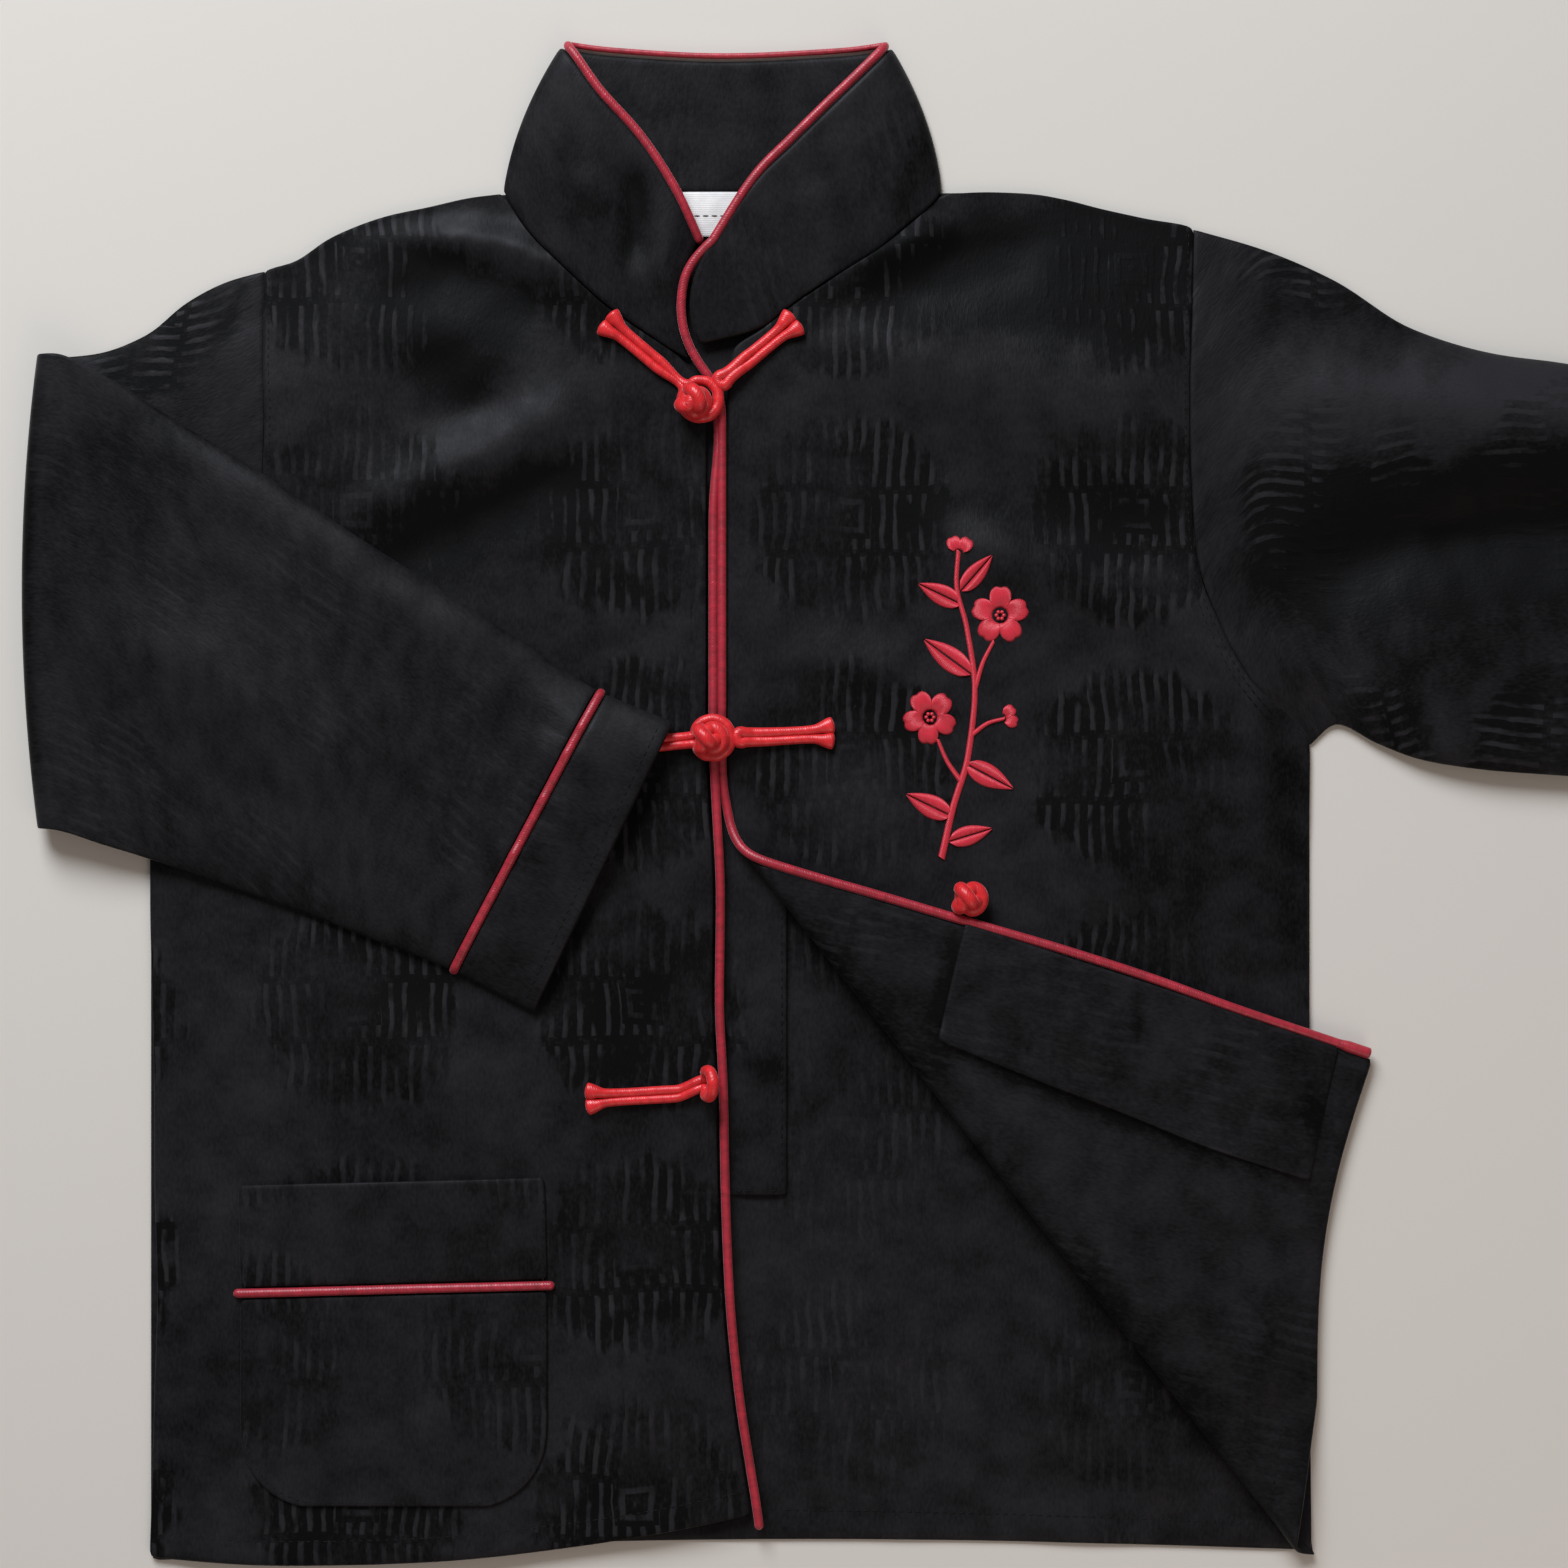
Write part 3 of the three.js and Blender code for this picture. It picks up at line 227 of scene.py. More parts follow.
# A sleeve's run from the armhole, its upper and lower edge, its share of the armhole's curve, and its room
SLEEVE_LEFT = [
    (0.0, 0.1788, 0.5035, 0.223, 0.3081, 1, 0.0027),
    (0.026, 0.205, 0.496, 0.2336, 0.316, 0.7, 0.0046),
    (0.054, 0.232, 0.4845, 0.2487, 0.3085, 0.4, 0.0062),
    (0.088, 0.262, 0.466, 0.266, 0.302, 0.15, 0.0072),
    (0.12, 0.294, 0.4565, 0.29, 0.2982, 0, 0.0076),
    (0.146, 0.32, 0.453, 0.32, 0.296, 0, 0.0076),
    (0.198, 0.37, 0.4415, 0.358, 0.2928, 0, 0.0072),
    (0.26, 0.43, 0.4257, 0.41, 0.2892, 0, 0.0068),
    (0.318, 0.486, 0.411, 0.4645, 0.2854, 0, 0.0064),
    (0.351, 0.5179, 0.4026, 0.4967, 0.2827, 0, 0.0062),
]
SLEEVE_RIGHT = [
    (0.0, -0.1739, 0.4876, SIDE_RIGHT, 0.3081, 1, 0.0027),
    (0.015, -0.188, 0.484, -0.226, 0.301, 0.6, 0.0029),
    (0.033, -0.205, 0.476, -0.236, 0.293, 0.3, 0.0029),
    (0.054, -0.222, 0.464, -0.245, 0.286, 0.1, 0.0028),
    (0.076, -0.244, 0.4566, -0.252, 0.28, 0, 0.0026),
    (0.09, -0.2576, 0.4555, -0.2576, 0.277, 0, 0.0026),
    (0.104, -0.2714, 0.4555, -0.2714, 0.276, 0, 0.0026),
    (0.124, -0.29, 0.4485, -0.29, 0.2705, 0, 0.004),
    (0.151, -0.314, 0.4355, -0.311, 0.2645, 0, 0.0052),
    (0.198, -0.3544, 0.4115, -0.342, 0.2545, 0, 0.0068),
    (0.239, -0.3884, 0.389, -0.37, 0.245, 0, 0.007),
    (0.306, -0.4451, 0.353, -0.4, 0.2335, 0, 0.007),
    (0.351, -0.483, 0.3285, -0.4271, 0.223, 0, 0.007),
    (0.383, -0.5112, 0.3165, -0.4585, 0.207, 0, 0.007),
]
# The collar's foot and top edge, their heights, and how far its middle bows along x
COLLAR = [
    (-0.012, 0.453, -0.0078, 0.5008, 0.0026, 0.003, -0.005),
    (-0.0182, 0.4564, -0.0112, 0.5082, 0.0034, 0.0037, -0.0044),
    (-0.0272, 0.4623, -0.0159, 0.5179, 0.0043, 0.0044, -0.003),
    (-0.0423, 0.4725, -0.031, 0.5405, 0.0042, 0.0045, -0.001),
    (-0.0612, 0.4895, -0.0461, 0.5575, 0.0037, 0.0045, -0.002),
    (-0.0726, 0.5009, -0.0535, 0.5685, 0.0032, 0.0045, -0.003),
    (-0.0809, 0.5138, -0.0572, 0.5738, 0.0026, 0.0041, -0.004),
    (-0.0829, 0.5174, -0.0588, 0.5756, 0.0016, 0.0026, -0.004),
    (-0.0809, NECK_BACK_Y, -0.057, 0.5752, 0.0006, 0.0008, -0.004),
    (-0.06, NECK_BACK_Y, -0.04, 0.573, 0.0006, 0.0006, -0.002),
    (0.0, NECK_BACK_Y, 0.0, 0.571, 0.0006, 0.0006, 0.0),
    (0.06, NECK_BACK_Y, 0.045, 0.573, 0.0006, 0.0006, 0.002),
    (0.0814, NECK_BACK_Y, 0.0604, 0.575, 0.0006, 0.0008, 0.004),
    (0.0834, 0.5179, 0.0622, 0.5754, 0.0016, 0.0026, 0.004),
    (0.0814, 0.5146, 0.0606, 0.5736, 0.0026, 0.0041, 0.004),
    (0.073, 0.5065, 0.055, 0.5675, 0.0032, 0.0045, 0.003),
    (0.0597, 0.4952, 0.038, 0.551, 0.0039, 0.0045, 0.002),
    (0.0446, 0.4857, 0.025, 0.538, 0.0043, 0.0045, 0.001),
    (0.0295, 0.4763, 0.0144, 0.5273, 0.0044, 0.0045, -0.001),
    (0.0144, 0.4649, 0.005, 0.5138, 0.0044, 0.0045, -0.0024),
    (-0.0086, 0.4588, -0.0023, 0.5, 0.0044, 0.0045, -0.0065),
]
COLLAR_END = [
    (-0.0046, 0.5006), (-0.01, 0.492), (-0.0144, 0.484), (-0.0156, 0.4725), (-0.0138, 0.462),
    (-0.0086, 0.452), (-0.0022, 0.443), (-0.0002, 0.436),
]
# The facing's two edges, and their place along the front
FACING = [
    (0.0115, 0.057, 0.178), (0.015, 0.063, 0.14), (0.018, 0.068, 0.104),
    (0.022, 0.074, 0.064), (0.0252, 0.077, 0.029),
]
CUFF = 0.031              # length of the cuff band

# Where each panel's woven medallions lie, in its own flat pattern
MOTIFS = {
    "front_right": (-0.031, 0.0205), "front_left": (0.0484, 0.019), "back": (0.0484, -0.0285),
    "sleeve_right": (0.05, 0.045), "sleeve_left": (0.055, 0.15), "collar": (0.02, 0.012),
    "pocket": (-0.0726, 0.0794), "plain": (0.0535, 0.0467),
}
# How strong the weave is where it isn't at its full strength: the back shows its wrong side
STRENGTH = {"collar": 0.22, "pocket": 0.55, "sleeve_left": 0.8, "back": 0.42, "plain": 0.3}
# Where the pattern grows faint: from one distance to another past the front's fold or down the sleeve
FADES = {"front_left": {"along": "front", "start": 0.0, "end": 0.012, "to": 0.3},
         "sleeve_right": {"along": "sleeve", "start": 0.076, "end": 0.1, "to": 0.24}}
# Steps from one medallion to the next, its radius, how ragged and how soft its edge is, and its bars: their
# pitch, the share of it that is light, and in pitches the half sizes of the fret and of the row with the fret
MEDALLION = {"step_u": 0.107, "step_v": 0.0935, "radius": 0.038, "ragged": 0.026, "edge": 0.003,
             "pitch": 0.0052, "light": 0.36, "fret": 1.6, "row": 2.3}

# Main creases of the fronts: height, half width and the line they follow; troughs have a height below zero
CREASES = [
    (0.0046, 0.0085, [(-0.152, 0.492), (-0.118, 0.505), (-0.086, 0.499), (-0.052, 0.482), (-0.036, 0.474)]),
    (-0.002, 0.01, [(-0.132, 0.47), (-0.1, 0.482), (-0.06, 0.466)]),
    (-0.0022, 0.011, [(-0.12, 0.462), (-0.095, 0.434), (-0.078, 0.448)]),
    (0.0044, 0.0135, [(-0.044, 0.438), (-0.084, 0.42), (-0.118, 0.402), (-0.148, 0.39)]),
    (-0.0024, 0.013, [(-0.05, 0.414), (-0.084, 0.4), (-0.11, 0.387), (-0.133, 0.372)]),
    (0.0034, 0.013, [(-0.16, 0.224), (-0.12, 0.19), (-0.084, 0.16), (-0.07, 0.146)]),
    (0.0024, 0.014, [(-0.2, 0.19), (-0.176, 0.205), (-0.14, 0.232)]),
    (0.002, 0.012, [(-0.04, 0.25), (-0.052, 0.205), (-0.044, 0.16)]),
    (0.0022, 0.016, [(-0.052, 0.105), (-0.034, 0.06), (-0.042, 0.02)]),
    (0.0018, 0.012, [(-0.2, 0.12), (-0.192, 0.06), (-0.203, 0.014)]),
    (0.0048, 0.007, [(0.09, 0.507), (0.072, 0.499), (0.048, 0.487), (0.036, 0.478)]),
    (-0.0024, 0.011, [(0.052, 0.47), (0.084, 0.484), (0.122, 0.496)]),
    (0.0064, 0.0185, [(0.034, 0.462), (0.078, 0.451), (0.128, 0.44), (0.182, 0.431)]),
    (-0.0026, 0.013, [(0.066, 0.424), (0.11, 0.402), (0.15, 0.388), (0.185, 0.38)]),
    (0.0034, 0.012, [(0.078, 0.386), (0.13, 0.372), (0.178, 0.352)]),
    (0.0038, 0.009, [(0.188, 0.35), (0.203, 0.322), (0.207, 0.286), (0.198, 0.25)]),
    (-0.002, 0.009, [(0.172, 0.338), (0.184, 0.306), (0.182, 0.262)]),
    (0.0026, 0.011, [(0.024, 0.342), (0.06, 0.336), (0.092, 0.318)]),
    (0.0022, 0.012, [(0.11, 0.3), (0.136, 0.276), (0.15, 0.24)]),
    (0.002, 0.008, [(0.214, 0.238), (0.202, 0.226), (0.19, 0.222)]),
    (0.002, 0.007, [(0.217, 0.252), (0.206, 0.246), (0.192, 0.25)]),
]
# Soft waves of the inside of the back where the turned-back front leaves it bare
BACK_CREASES = [
    (0.0022, 0.016, [(0.05, 0.205), (0.062, 0.13), (0.052, 0.04)]),
    (0.0018, 0.015, [(0.09, 0.135), (0.116, 0.08), (0.124, 0.02)]),
    (0.0016, 0.012, [(0.03, 0.11), (0.036, 0.06), (0.03, 0.018)]),
    (0.0014, 0.01, [(0.14, 0.07), (0.16, 0.04), (0.172, 0.014)]),
]
# Creases of the turned-back part, and of the two sleeves as they lie
FLAP_CREASES = [
    (0.003, 0.01, [(0.03, 0.262), (0.072, 0.216), (0.112, 0.166)]),
    (0.003, 0.012, [(0.1, 0.176), (0.15, 0.118), (0.198, 0.06)]),
    (0.0042, 0.01, [(0.2, 0.052), (0.209, 0.09), (0.212, 0.118)]),
    (-0.0016, 0.01, [(0.15, 0.15), (0.182, 0.112), (0.2, 0.088)]),
    (0.002, 0.012, [(0.082, 0.236), (0.12, 0.205), (0.176, 0.176)]),
    (0.0018, 0.009, [(0.206, 0.198), (0.216, 0.17), (0.22, 0.14)]),
]
SLEEVE_LEFT_CREASES = [
    (0.0096, 0.02, [(0.176, 0.446), (0.225, 0.441), (0.28, 0.438), (0.34, 0.432), (0.4, 0.41)]),
    (-0.0068, 0.0135, [(0.196, 0.356), (0.222, 0.372), (0.262, 0.386), (0.33, 0.391), (0.38, 0.388)]),
    (0.0022, 0.016, [(0.215, 0.334), (0.262, 0.345), (0.32, 0.352), (0.372, 0.35)]),
    (-0.0024, 0.011, [(0.195, 0.47), (0.236, 0.464), (0.268, 0.446)]),
    (0.003, 0.007, [(0.226, 0.316), (0.24, 0.322), (0.262, 0.318)]),
    (0.0034, 0.012, [(0.4, 0.402), (0.424, 0.362), (0.43, 0.312)]),
    (-0.0026, 0.011, [(0.38, 0.372), (0.41, 0.338), (0.412, 0.3)]),
    (0.0028, 0.012, [(0.452, 0.4), (0.47, 0.35), (0.462, 0.304)]),
]
SLEEVE_RIGHT_CREASES = [
    (0.002, 0.016, [(-0.236, 0.44), (-0.18, 0.412), (-0.11, 0.364), (-0.07, 0.336)]),
    (-0.0014, 0.016, [(-0.21, 0.4), (-0.15, 0.36), (-0.096, 0.318)]),
    (0.0022, 0.018, [(-0.25, 0.35), (-0.19, 0.33), (-0.13, 0.29)]),
    (-0.0012, 0.014, [(-0.24, 0.31), (-0.18, 0.29), (-0.12, 0.25)]),
    (0.0018, 0.014, [(-0.22, 0.278), (-0.16, 0.256), (-0.11, 0.226)]),
]
COLLAR_CREASES = [
    (-0.0022, 0.006, [(-0.037, 0.53), (-0.033, 0.51), (-0.031, 0.486)]),
    (0.0008, 0.007, [(-0.05, 0.528), (-0.047, 0.504)]),
    (0.0008, 0.008, [(0.034, 0.52), (0.044, 0.5)]),
    (0.0006, 0.007, [(0.06, 0.545), (0.066, 0.52)]),
    (0.0006, 0.006, [(-0.022, 0.498), (-0.018, 0.478)]),
]

# Painted shade and painted highlight: where the satin's colour is made darker or lighter as the light falls
# on it as it lies; amount, half width and the line that it follows
PAINTED_SHADES = {
    "front_right": [
        (0.34, 0.009, [(-0.0461, 0.4343), (-0.0839, 0.4177), (-0.1142, 0.4037), (-0.1455, 0.3912)]),
        (-1.15, 0.017, [(-0.0499, 0.415), (-0.0839, 0.398), (-0.1104, 0.3875), (-0.1331, 0.3723)]),
        (-1.0, 0.013, [(-0.116, 0.4623), (-0.1009, 0.4476), (-0.0934, 0.4328)]),
        (0.44, 0.006, [(-0.1395, 0.5009), (-0.1066, 0.5027), (-0.0764, 0.4906), (-0.0507, 0.4763)]),
        (-1.15, 0.015, [(-0.1331, 0.485), (-0.099, 0.478), (-0.0612, 0.4631)]),
        (-0.18, 0.014, [(-0.1247, 0.2344), (-0.099, 0.2079), (-0.0714, 0.175)]),
        (-0.34, 0.009, [(-0.0461, 0.1701), (-0.031, 0.2117), (-0.0083, 0.2381)]),
        (0.32, 0.028, [(-0.1973, 0.2079), (-0.1482, 0.1777)]),
        (0.26, 0.026, [(-0.048, 0.09), (-0.03, 0.03)]),
    ],
    "front_left": [
        (0.46, 0.0055, [(0.0828, 0.5141), (0.0597, 0.499), (0.0352, 0.4801)]),
        (-0.44, 0.013, [(0.0408, 0.4763), (0.0824, 0.4952), (0.1353, 0.5046), (0.1769, 0.4952)]),
        (-1.25, 0.019, [(0.064, 0.476), (0.1, 0.483), (0.1353, 0.483), (0.175, 0.472)]),
        (0.3, 0.016, [(0.0352, 0.4612), (0.1062, 0.4385), (0.1504, 0.4271), (0.1833, 0.4234)]),
        (-0.38, 0.012, [(0.0597, 0.4177), (0.1051, 0.395), (0.1467, 0.3931), (0.1807, 0.3988)]),
        (0.24, 0.009, [(0.1418, 0.3822), (0.1731, 0.3629), (0.1954, 0.3349)]),
        (-0.46, 0.008, [(0.2071, 0.3251), (0.2147, 0.2873), (0.2185, 0.2117)]),
        (-0.26, 0.012, [(0.1391, 0.2684), (0.1731, 0.257), (0.1996, 0.2759)]),
        (0.5, 0.017, [(0.022, 0.293), (0.055, 0.286), (0.08, 0.274)]),
        (0.3, 0.04, [(0.1, 0.195), (0.16, 0.12)]),
    ],
    "sleeve_left": [
        (0.88, 0.019, [(0.1731, 0.4271), (0.2185, 0.429), (0.2638, 0.4347), (0.3168, 0.4404),
                       (0.4075, 0.4234)]),
        (-2.6, 0.023, [(0.1939, 0.3629), (0.2185, 0.376), (0.2563, 0.386), (0.3198, 0.391),
                       (0.3924, 0.388)]),
        (-0.42, 0.013, [(0.192, 0.4763), (0.2298, 0.4649), (0.2638, 0.4612)]),
        (-0.3, 0.02, [(0.2374, 0.336), (0.2752, 0.3289), (0.3168, 0.3251)]),
        (0.26, 0.0045, [(0.2147, 0.3251), (0.2336, 0.327), (0.2412, 0.3289)]),
        (-0.5, 0.012, [(0.405, 0.39), (0.425, 0.35), (0.43, 0.305)]),
    ],
    "sleeve_right": [
        (-0.7, 0.0045, [(-0.259, 0.45), (-0.2645, 0.365), (-0.259, 0.278)]),
        (-0.4, 0.032, [(-0.2389, 0.4309), (-0.2, 0.395)]),
        (-0.12, 0.018, [(-0.1595, 0.3629), (-0.1066, 0.3289), (-0.0612, 0.3024)]),
    ],
    "collar": [
        (-0.34, 0.014, [(-0.056, 0.54), (-0.052, 0.5)]),
        (-0.55, 0.0055, [(-0.031, 0.533), (-0.034, 0.5103), (-0.0367, 0.4838)]),
        (-0.3, 0.006, [(0.0144, 0.567), (0.02, 0.5481), (0.0181, 0.5292)]),
        (0.2, 0.007, [(0.0295, 0.4914), (0.0484, 0.5065)]),
        (-0.3, 0.009, [(0.0673, 0.5443), (0.073, 0.5254), (0.0597, 0.5065)]),
    ],
    "placket": [
        (0.2, 0.008, [(0.0163, 0.2381), (0.0174, 0.1966)]),
        (-0.7, 0.0045, [(0.0049, 0.186), (0.0257, 0.186)]),
    ],
    "facing": [
        (-0.55, 0.0026, [(0.1555, 0.2195), (0.1575, 0.193)]),
        (-0.35, 0.012, [(0.215, 0.183), (0.235, 0.156)]),
    ],
    "back": [
        (0.26, 0.055, [(0.0484, 0.1739), (0.0673, 0.0794), (0.11, 0.04)]),
    ],
}


def lerp(a, b, t):
    return a + (b - a) * t


def ease(t):
    t = np.clip(t, 0.0, 1.0)
    return t * t * (3.0 - 2.0 * t)


def unit(vectors):
    """Vectors of length 1 along the given ones."""
    return vectors / np.linalg.norm(vectors, axis=-1, keepdims=True)


def stacked(*axes):
    """Points from their coordinates, which may differ in shape."""
    return np.stack(np.broadcast_arrays(*axes), axis=-1)


def lengths(points):
    """How far along a line of points each one lies."""
    steps = np.linalg.norm(np.diff(np.asarray(points, float), axis=0), axis=1)
    return np.concatenate([[0.0], np.cumsum(steps)])


def through(keys, values, at):
    """Smooth values through a table's rows, which never swing past them."""
    keys, values = np.asarray(keys, float), np.asarray(values, float)
    slope = np.diff(values, axis=0) / np.diff(keys)[:, None]
    same = slope[:-1] * slope[1:]
    total = np.where(same > 0, slope[:-1] + slope[1:], 1.0)
    inner = np.where(same > 0, 2.0 * same / total, 0.0)
    tangent = np.vstack([slope[:1], inner, slope[-1:]])
    i = np.clip(np.searchsorted(keys, at, side="right") - 1, 0, len(keys) - 2)
    width = (keys[i + 1] - keys[i])[:, None]
    t = (np.asarray(at) - keys[i])[:, None] / width
    start, end = values[i], values[i + 1]
    return (
        start * (2 * t**3 - 3 * t**2 + 1)
        + tangent[i] * width * (t**3 - 2 * t**2 + t)
        + end * (3 * t**2 - 2 * t**3)
        + tangent[i + 1] * width * (t**3 - t**2)
    )


def stops(keys, step):
    """Places along a table, at most a step apart, that include each of its rows."""
    found = [np.linspace(a, b, max(int(math.ceil((b - a) / step)), 1), endpoint=False)
             for a, b in zip(keys[:-1], keys[1:])]
    return np.concatenate([*found, [keys[-1]]])


def smooth_line(points, step):
    """Points a step apart on a smooth line through the given ones."""
    keys = lengths(points)
    return through(keys, points, np.linspace(0.0, keys[-1], max(int(round(keys[-1] / step)), 2) + 1))


def distance_to(line, x, y):
    """Distance of points from a line, and how far along it they lie, from 0 to 1."""
    keys = lengths(line)
    nearest, along = np.full(np.shape(x), np.inf), np.zeros(np.shape(x))
    for (ax, ay), (bx, by), start, end in zip(line[:-1], line[1:], keys[:-1], keys[1:]):
        t = ((x - ax) * (bx - ax) + (y - ay) * (by - ay)) / (end - start) ** 2
        t = np.clip(t, 0.0, 1.0)
        distance = np.hypot(x - lerp(ax, bx, t), y - lerp(ay, by, t))
        closer = distance < nearest
        nearest = np.where(closer, distance, nearest)
        along = np.where(closer, lerp(start, end, t) / keys[-1], along)
    return nearest, along


def creases_or_painted_shade(creases, x, y):
    """Height that creases add at each point, or the painted shade and painted highlight that shade strokes
    add; each fades towards both its ends.
    """
    height = np.zeros(np.shape(x))
    for rise, width, line in creases:
        distance, along = distance_to(smooth_line(line, 0.006), x, y)
        fade = ease(np.minimum(along, 1.0 - along) / 0.3 + 0.12)
        height += rise * fade * np.exp(-((distance / width) ** 2))
    return height


def ripple(x, y, length, seed, count=7):
    """Small uneven waves of about one wave length, from -1 to 1."""
    draw = np.random.default_rng(seed)
    total = np.zeros(np.shape(x))
    for _ in range(count):
        turn, phase = draw.uniform(0, 2 * math.pi, 2)
        wave = 2 * math.pi / (length * draw.uniform(0.7, 1.5))
        total += np.sin((x * math.cos(turn) + y * math.sin(turn)) * wave + phase)
    return total / count * 1.6


def soft_floor(height, depth):
    """Keeps a trough from going deeper than a limit, without a corner."""
    return np.where(height < 0, -depth * np.tanh(-height / depth), height)


# Seams that hold a front down, and the limits of its creases between them
SEAMS_RIGHT = [(SIDE_RIGHT, 0.0), (SIDE_RIGHT, UNDERARM_Y)]
SEAMS_LEFT = [(SIDE_LEFT, 0.0), (SIDE_LEFT, UNDERARM_Y)]
TOPS_RIGHT = [*SHOULDER_RIGHT, ARMHOLE_RIGHT[0]]
TOPS_LEFT = [*SHOULDER_LEFT, ARMHOLE_LEFT[0]]
TROUGH = 0.0024
SEAM_FADE = 0.022         # creases grow from nothing over this distance from a seam
FINE = 0.00022            # height of the small unevenness that any laid cloth has
BROAD = 0.00075           # height of its broad waves


def front_z(x, y):
    """Height of the middle of a front's cloth."""
    inside = np.where(
        x < 0,
        np.minimum(distance_to(SEAMS_RIGHT, x, y)[0], distance_to(TOPS_RIGHT, x, y)[0]),
        np.minimum(distance_to(SEAMS_LEFT, x, y)[0], distance_to(TOPS_LEFT, x, y)[0]),
    )
    waves = creases_or_painted_shade(CREASES, x, y) + BROAD * ripple(x, y, 0.07, 3) + FINE * ripple(x, y, 0.016, 5, 12)
    waves = ease(inside / SEAM_FADE) * soft_floor(waves, TROUGH)
    return lerp(SEAM_Z, BODY_Z, ease(inside / LIFT_WIDTH)) + waves


def front_top(x, y):
    return front_z(x, y) + CLOTH / 2


FLAP_ALONG = unit(FLAP_FOOT - FLAP_TOP)
FLAP_ACROSS = np.array((FLAP_ALONG[1], -FLAP_ALONG[0]))
FLAP_TURN = math.pi * FLAP["radius"]
FLAP_LINE = [tuple(FLAP_TOP), tuple(FLAP_FOOT)]


def past_fold(x, y):
    """Signed distance past the line about which the left front is turned back."""
    return (x - FLAP_TOP[0]) * FLAP_ACROSS[0] + (y - FLAP_TOP[1]) * FLAP_ACROSS[1]


def flap_z(x, y, turned):
    """Height of the turned-back cloth at a place, and how far past the roll it lies."""
    over = np.minimum(x, SIDE_LEFT - 0.002)
    waves = soft_floor(creases_or_painted_shade(FLAP_CREASES, x, y) + 0.0006 * ripple(x, y, 0.055, 8), 0.001)
    droop = DROOP["depth"] * ease((x - DROOP["start"]) / DROOP["run"])
    rest = np.maximum(front_top(over, y) + FLAP["clear"] + waves - droop, DROOP["lowest"])
    at_fold = FLAP["under"] + 2 * FLAP["radius"]
    return lerp(at_fold, rest, ease(turned / FLAP["settle"]))


def left_front(x, y):
    """Where a point of the left front's flat pattern lies."""
    past = past_fold(x, y)
    angle = np.clip(past / FLAP["radius"], 0.0, math.pi)
    turned = np.maximum(past - FLAP_TURN, 0.0)
    across = np.where(past > 0, FLAP["radius"] * np.sin(angle) - turned - past, 0.0)
    wx, wy = x + across * FLAP_ACROSS[0], y + across * FLAP_ACROSS[1]
    flat = lerp(FLAP["under"], front_z(x, y), ease(-past / FLAP["rise"]))
    roll = FLAP["under"] + FLAP["radius"] * (1.0 - np.cos(angle))
    z = np.where(past <= 0, flat, np.where(turned <= 0, roll, flap_z(wx, wy, turned)))
    return stacked(wx, wy, z)


# Meshes: every piece is built about the centre front and hem, then moved to the frame
label_low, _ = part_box("label")
ORIGIN = np.array([label_low[0] - LABEL["left"], label_low[1] - LABEL["bottom"], 0.0])


def new_piece(name, points, faces, uv, material):
    """A smooth mesh piece; uv holds a flat-pattern place for each point."""
    mesh = bpy.data.meshes.new(name)
    mesh.from_pydata((np.asarray(points) + ORIGIN).tolist(), [], faces)
    layer = mesh.uv_layers.new(name="Pattern")
    corner = np.empty(len(mesh.loops), dtype=np.int32)
    mesh.loops.foreach_get("vertex_index", corner)
    layer.data.foreach_set("uv", np.asarray(uv, dtype=np.float32)[corner].ravel())
    mesh.polygons.foreach_set("use_smooth", [True] * len(mesh.polygons))
    mesh.materials.append(material)
    piece = bpy.data.objects.new(name, mesh)
    bpy.context.collection.objects.link(piece)
    return piece


def apply_modifiers(piece):
    """Leaves the piece with the mesh that its modifiers make."""
    graph = bpy.context.evaluated_depsgraph_get()
    graph.update()
    made = bpy.data.meshes.new_from_object(piece.evaluated_get(graph))
    piece.modifiers.clear()
    piece.data = made


def cloth_piece(name, grid, uv, material, thickness=CLOTH, thicker=None, shades=()):
    """A thin shell of cloth about a grid of points, with rounded edges; equal points are joined."""
    rows, columns = grid.shape[:2]
    index = np.arange(rows * columns).reshape(rows, columns)
    faces = np.stack([index[:-1, :-1], index[:-1, 1:], index[1:, 1:], index[1:, :-1]], axis=-1)
    piece = new_piece(name, grid.reshape(-1, 3), faces.reshape(-1, 4).tolist(), uv.reshape(-1, 2), material)
    # Painted shade and painted highlight for each point, which the cloth's colour takes up
    tone = piece.data.attributes.new("PaintedShade", "FLOAT", "POINT")
    tone.data.foreach_set("value", creases_or_painted_shade(shades, grid[..., 0], grid[..., 1]).ravel().astype(np.float32))
    if thicker is not None:
        group = piece.vertex_groups.new(name="layers")
        for level in np.unique(thicker):
            chosen = np.flatnonzero(thicker.ravel() == level)
            group.add(chosen.tolist(), float(level), "REPLACE")
    mesh = bmesh.new()
    mesh.from_mesh(piece.data)
    bmesh.ops.remove_doubles(mesh, verts=mesh.verts, dist=1e-5)
    bmesh.ops.dissolve_degenerate(mesh, edges=mesh.edges, dist=1e-6)
    bmesh.ops.recalc_face_normals(mesh, faces=mesh.faces)
    mesh.to_mesh(piece.data)
    mesh.free()
    solidify = piece.modifiers.new("Wall", "SOLIDIFY")
    solidify.offset = 0.0
    solidify.thickness = thickness
    if thicker is not None:
        solidify.thickness = thickness * HEM_EXTRA
        solidify.vertex_group = "layers"
        solidify.thickness_vertex_group = 1.0 / HEM_EXTRA
    subdivide = piece.modifiers.new("Smooth", "SUBSURF")
    subdivide.levels = subdivide.render_levels = 1
    apply_modifiers(piece)
    return piece


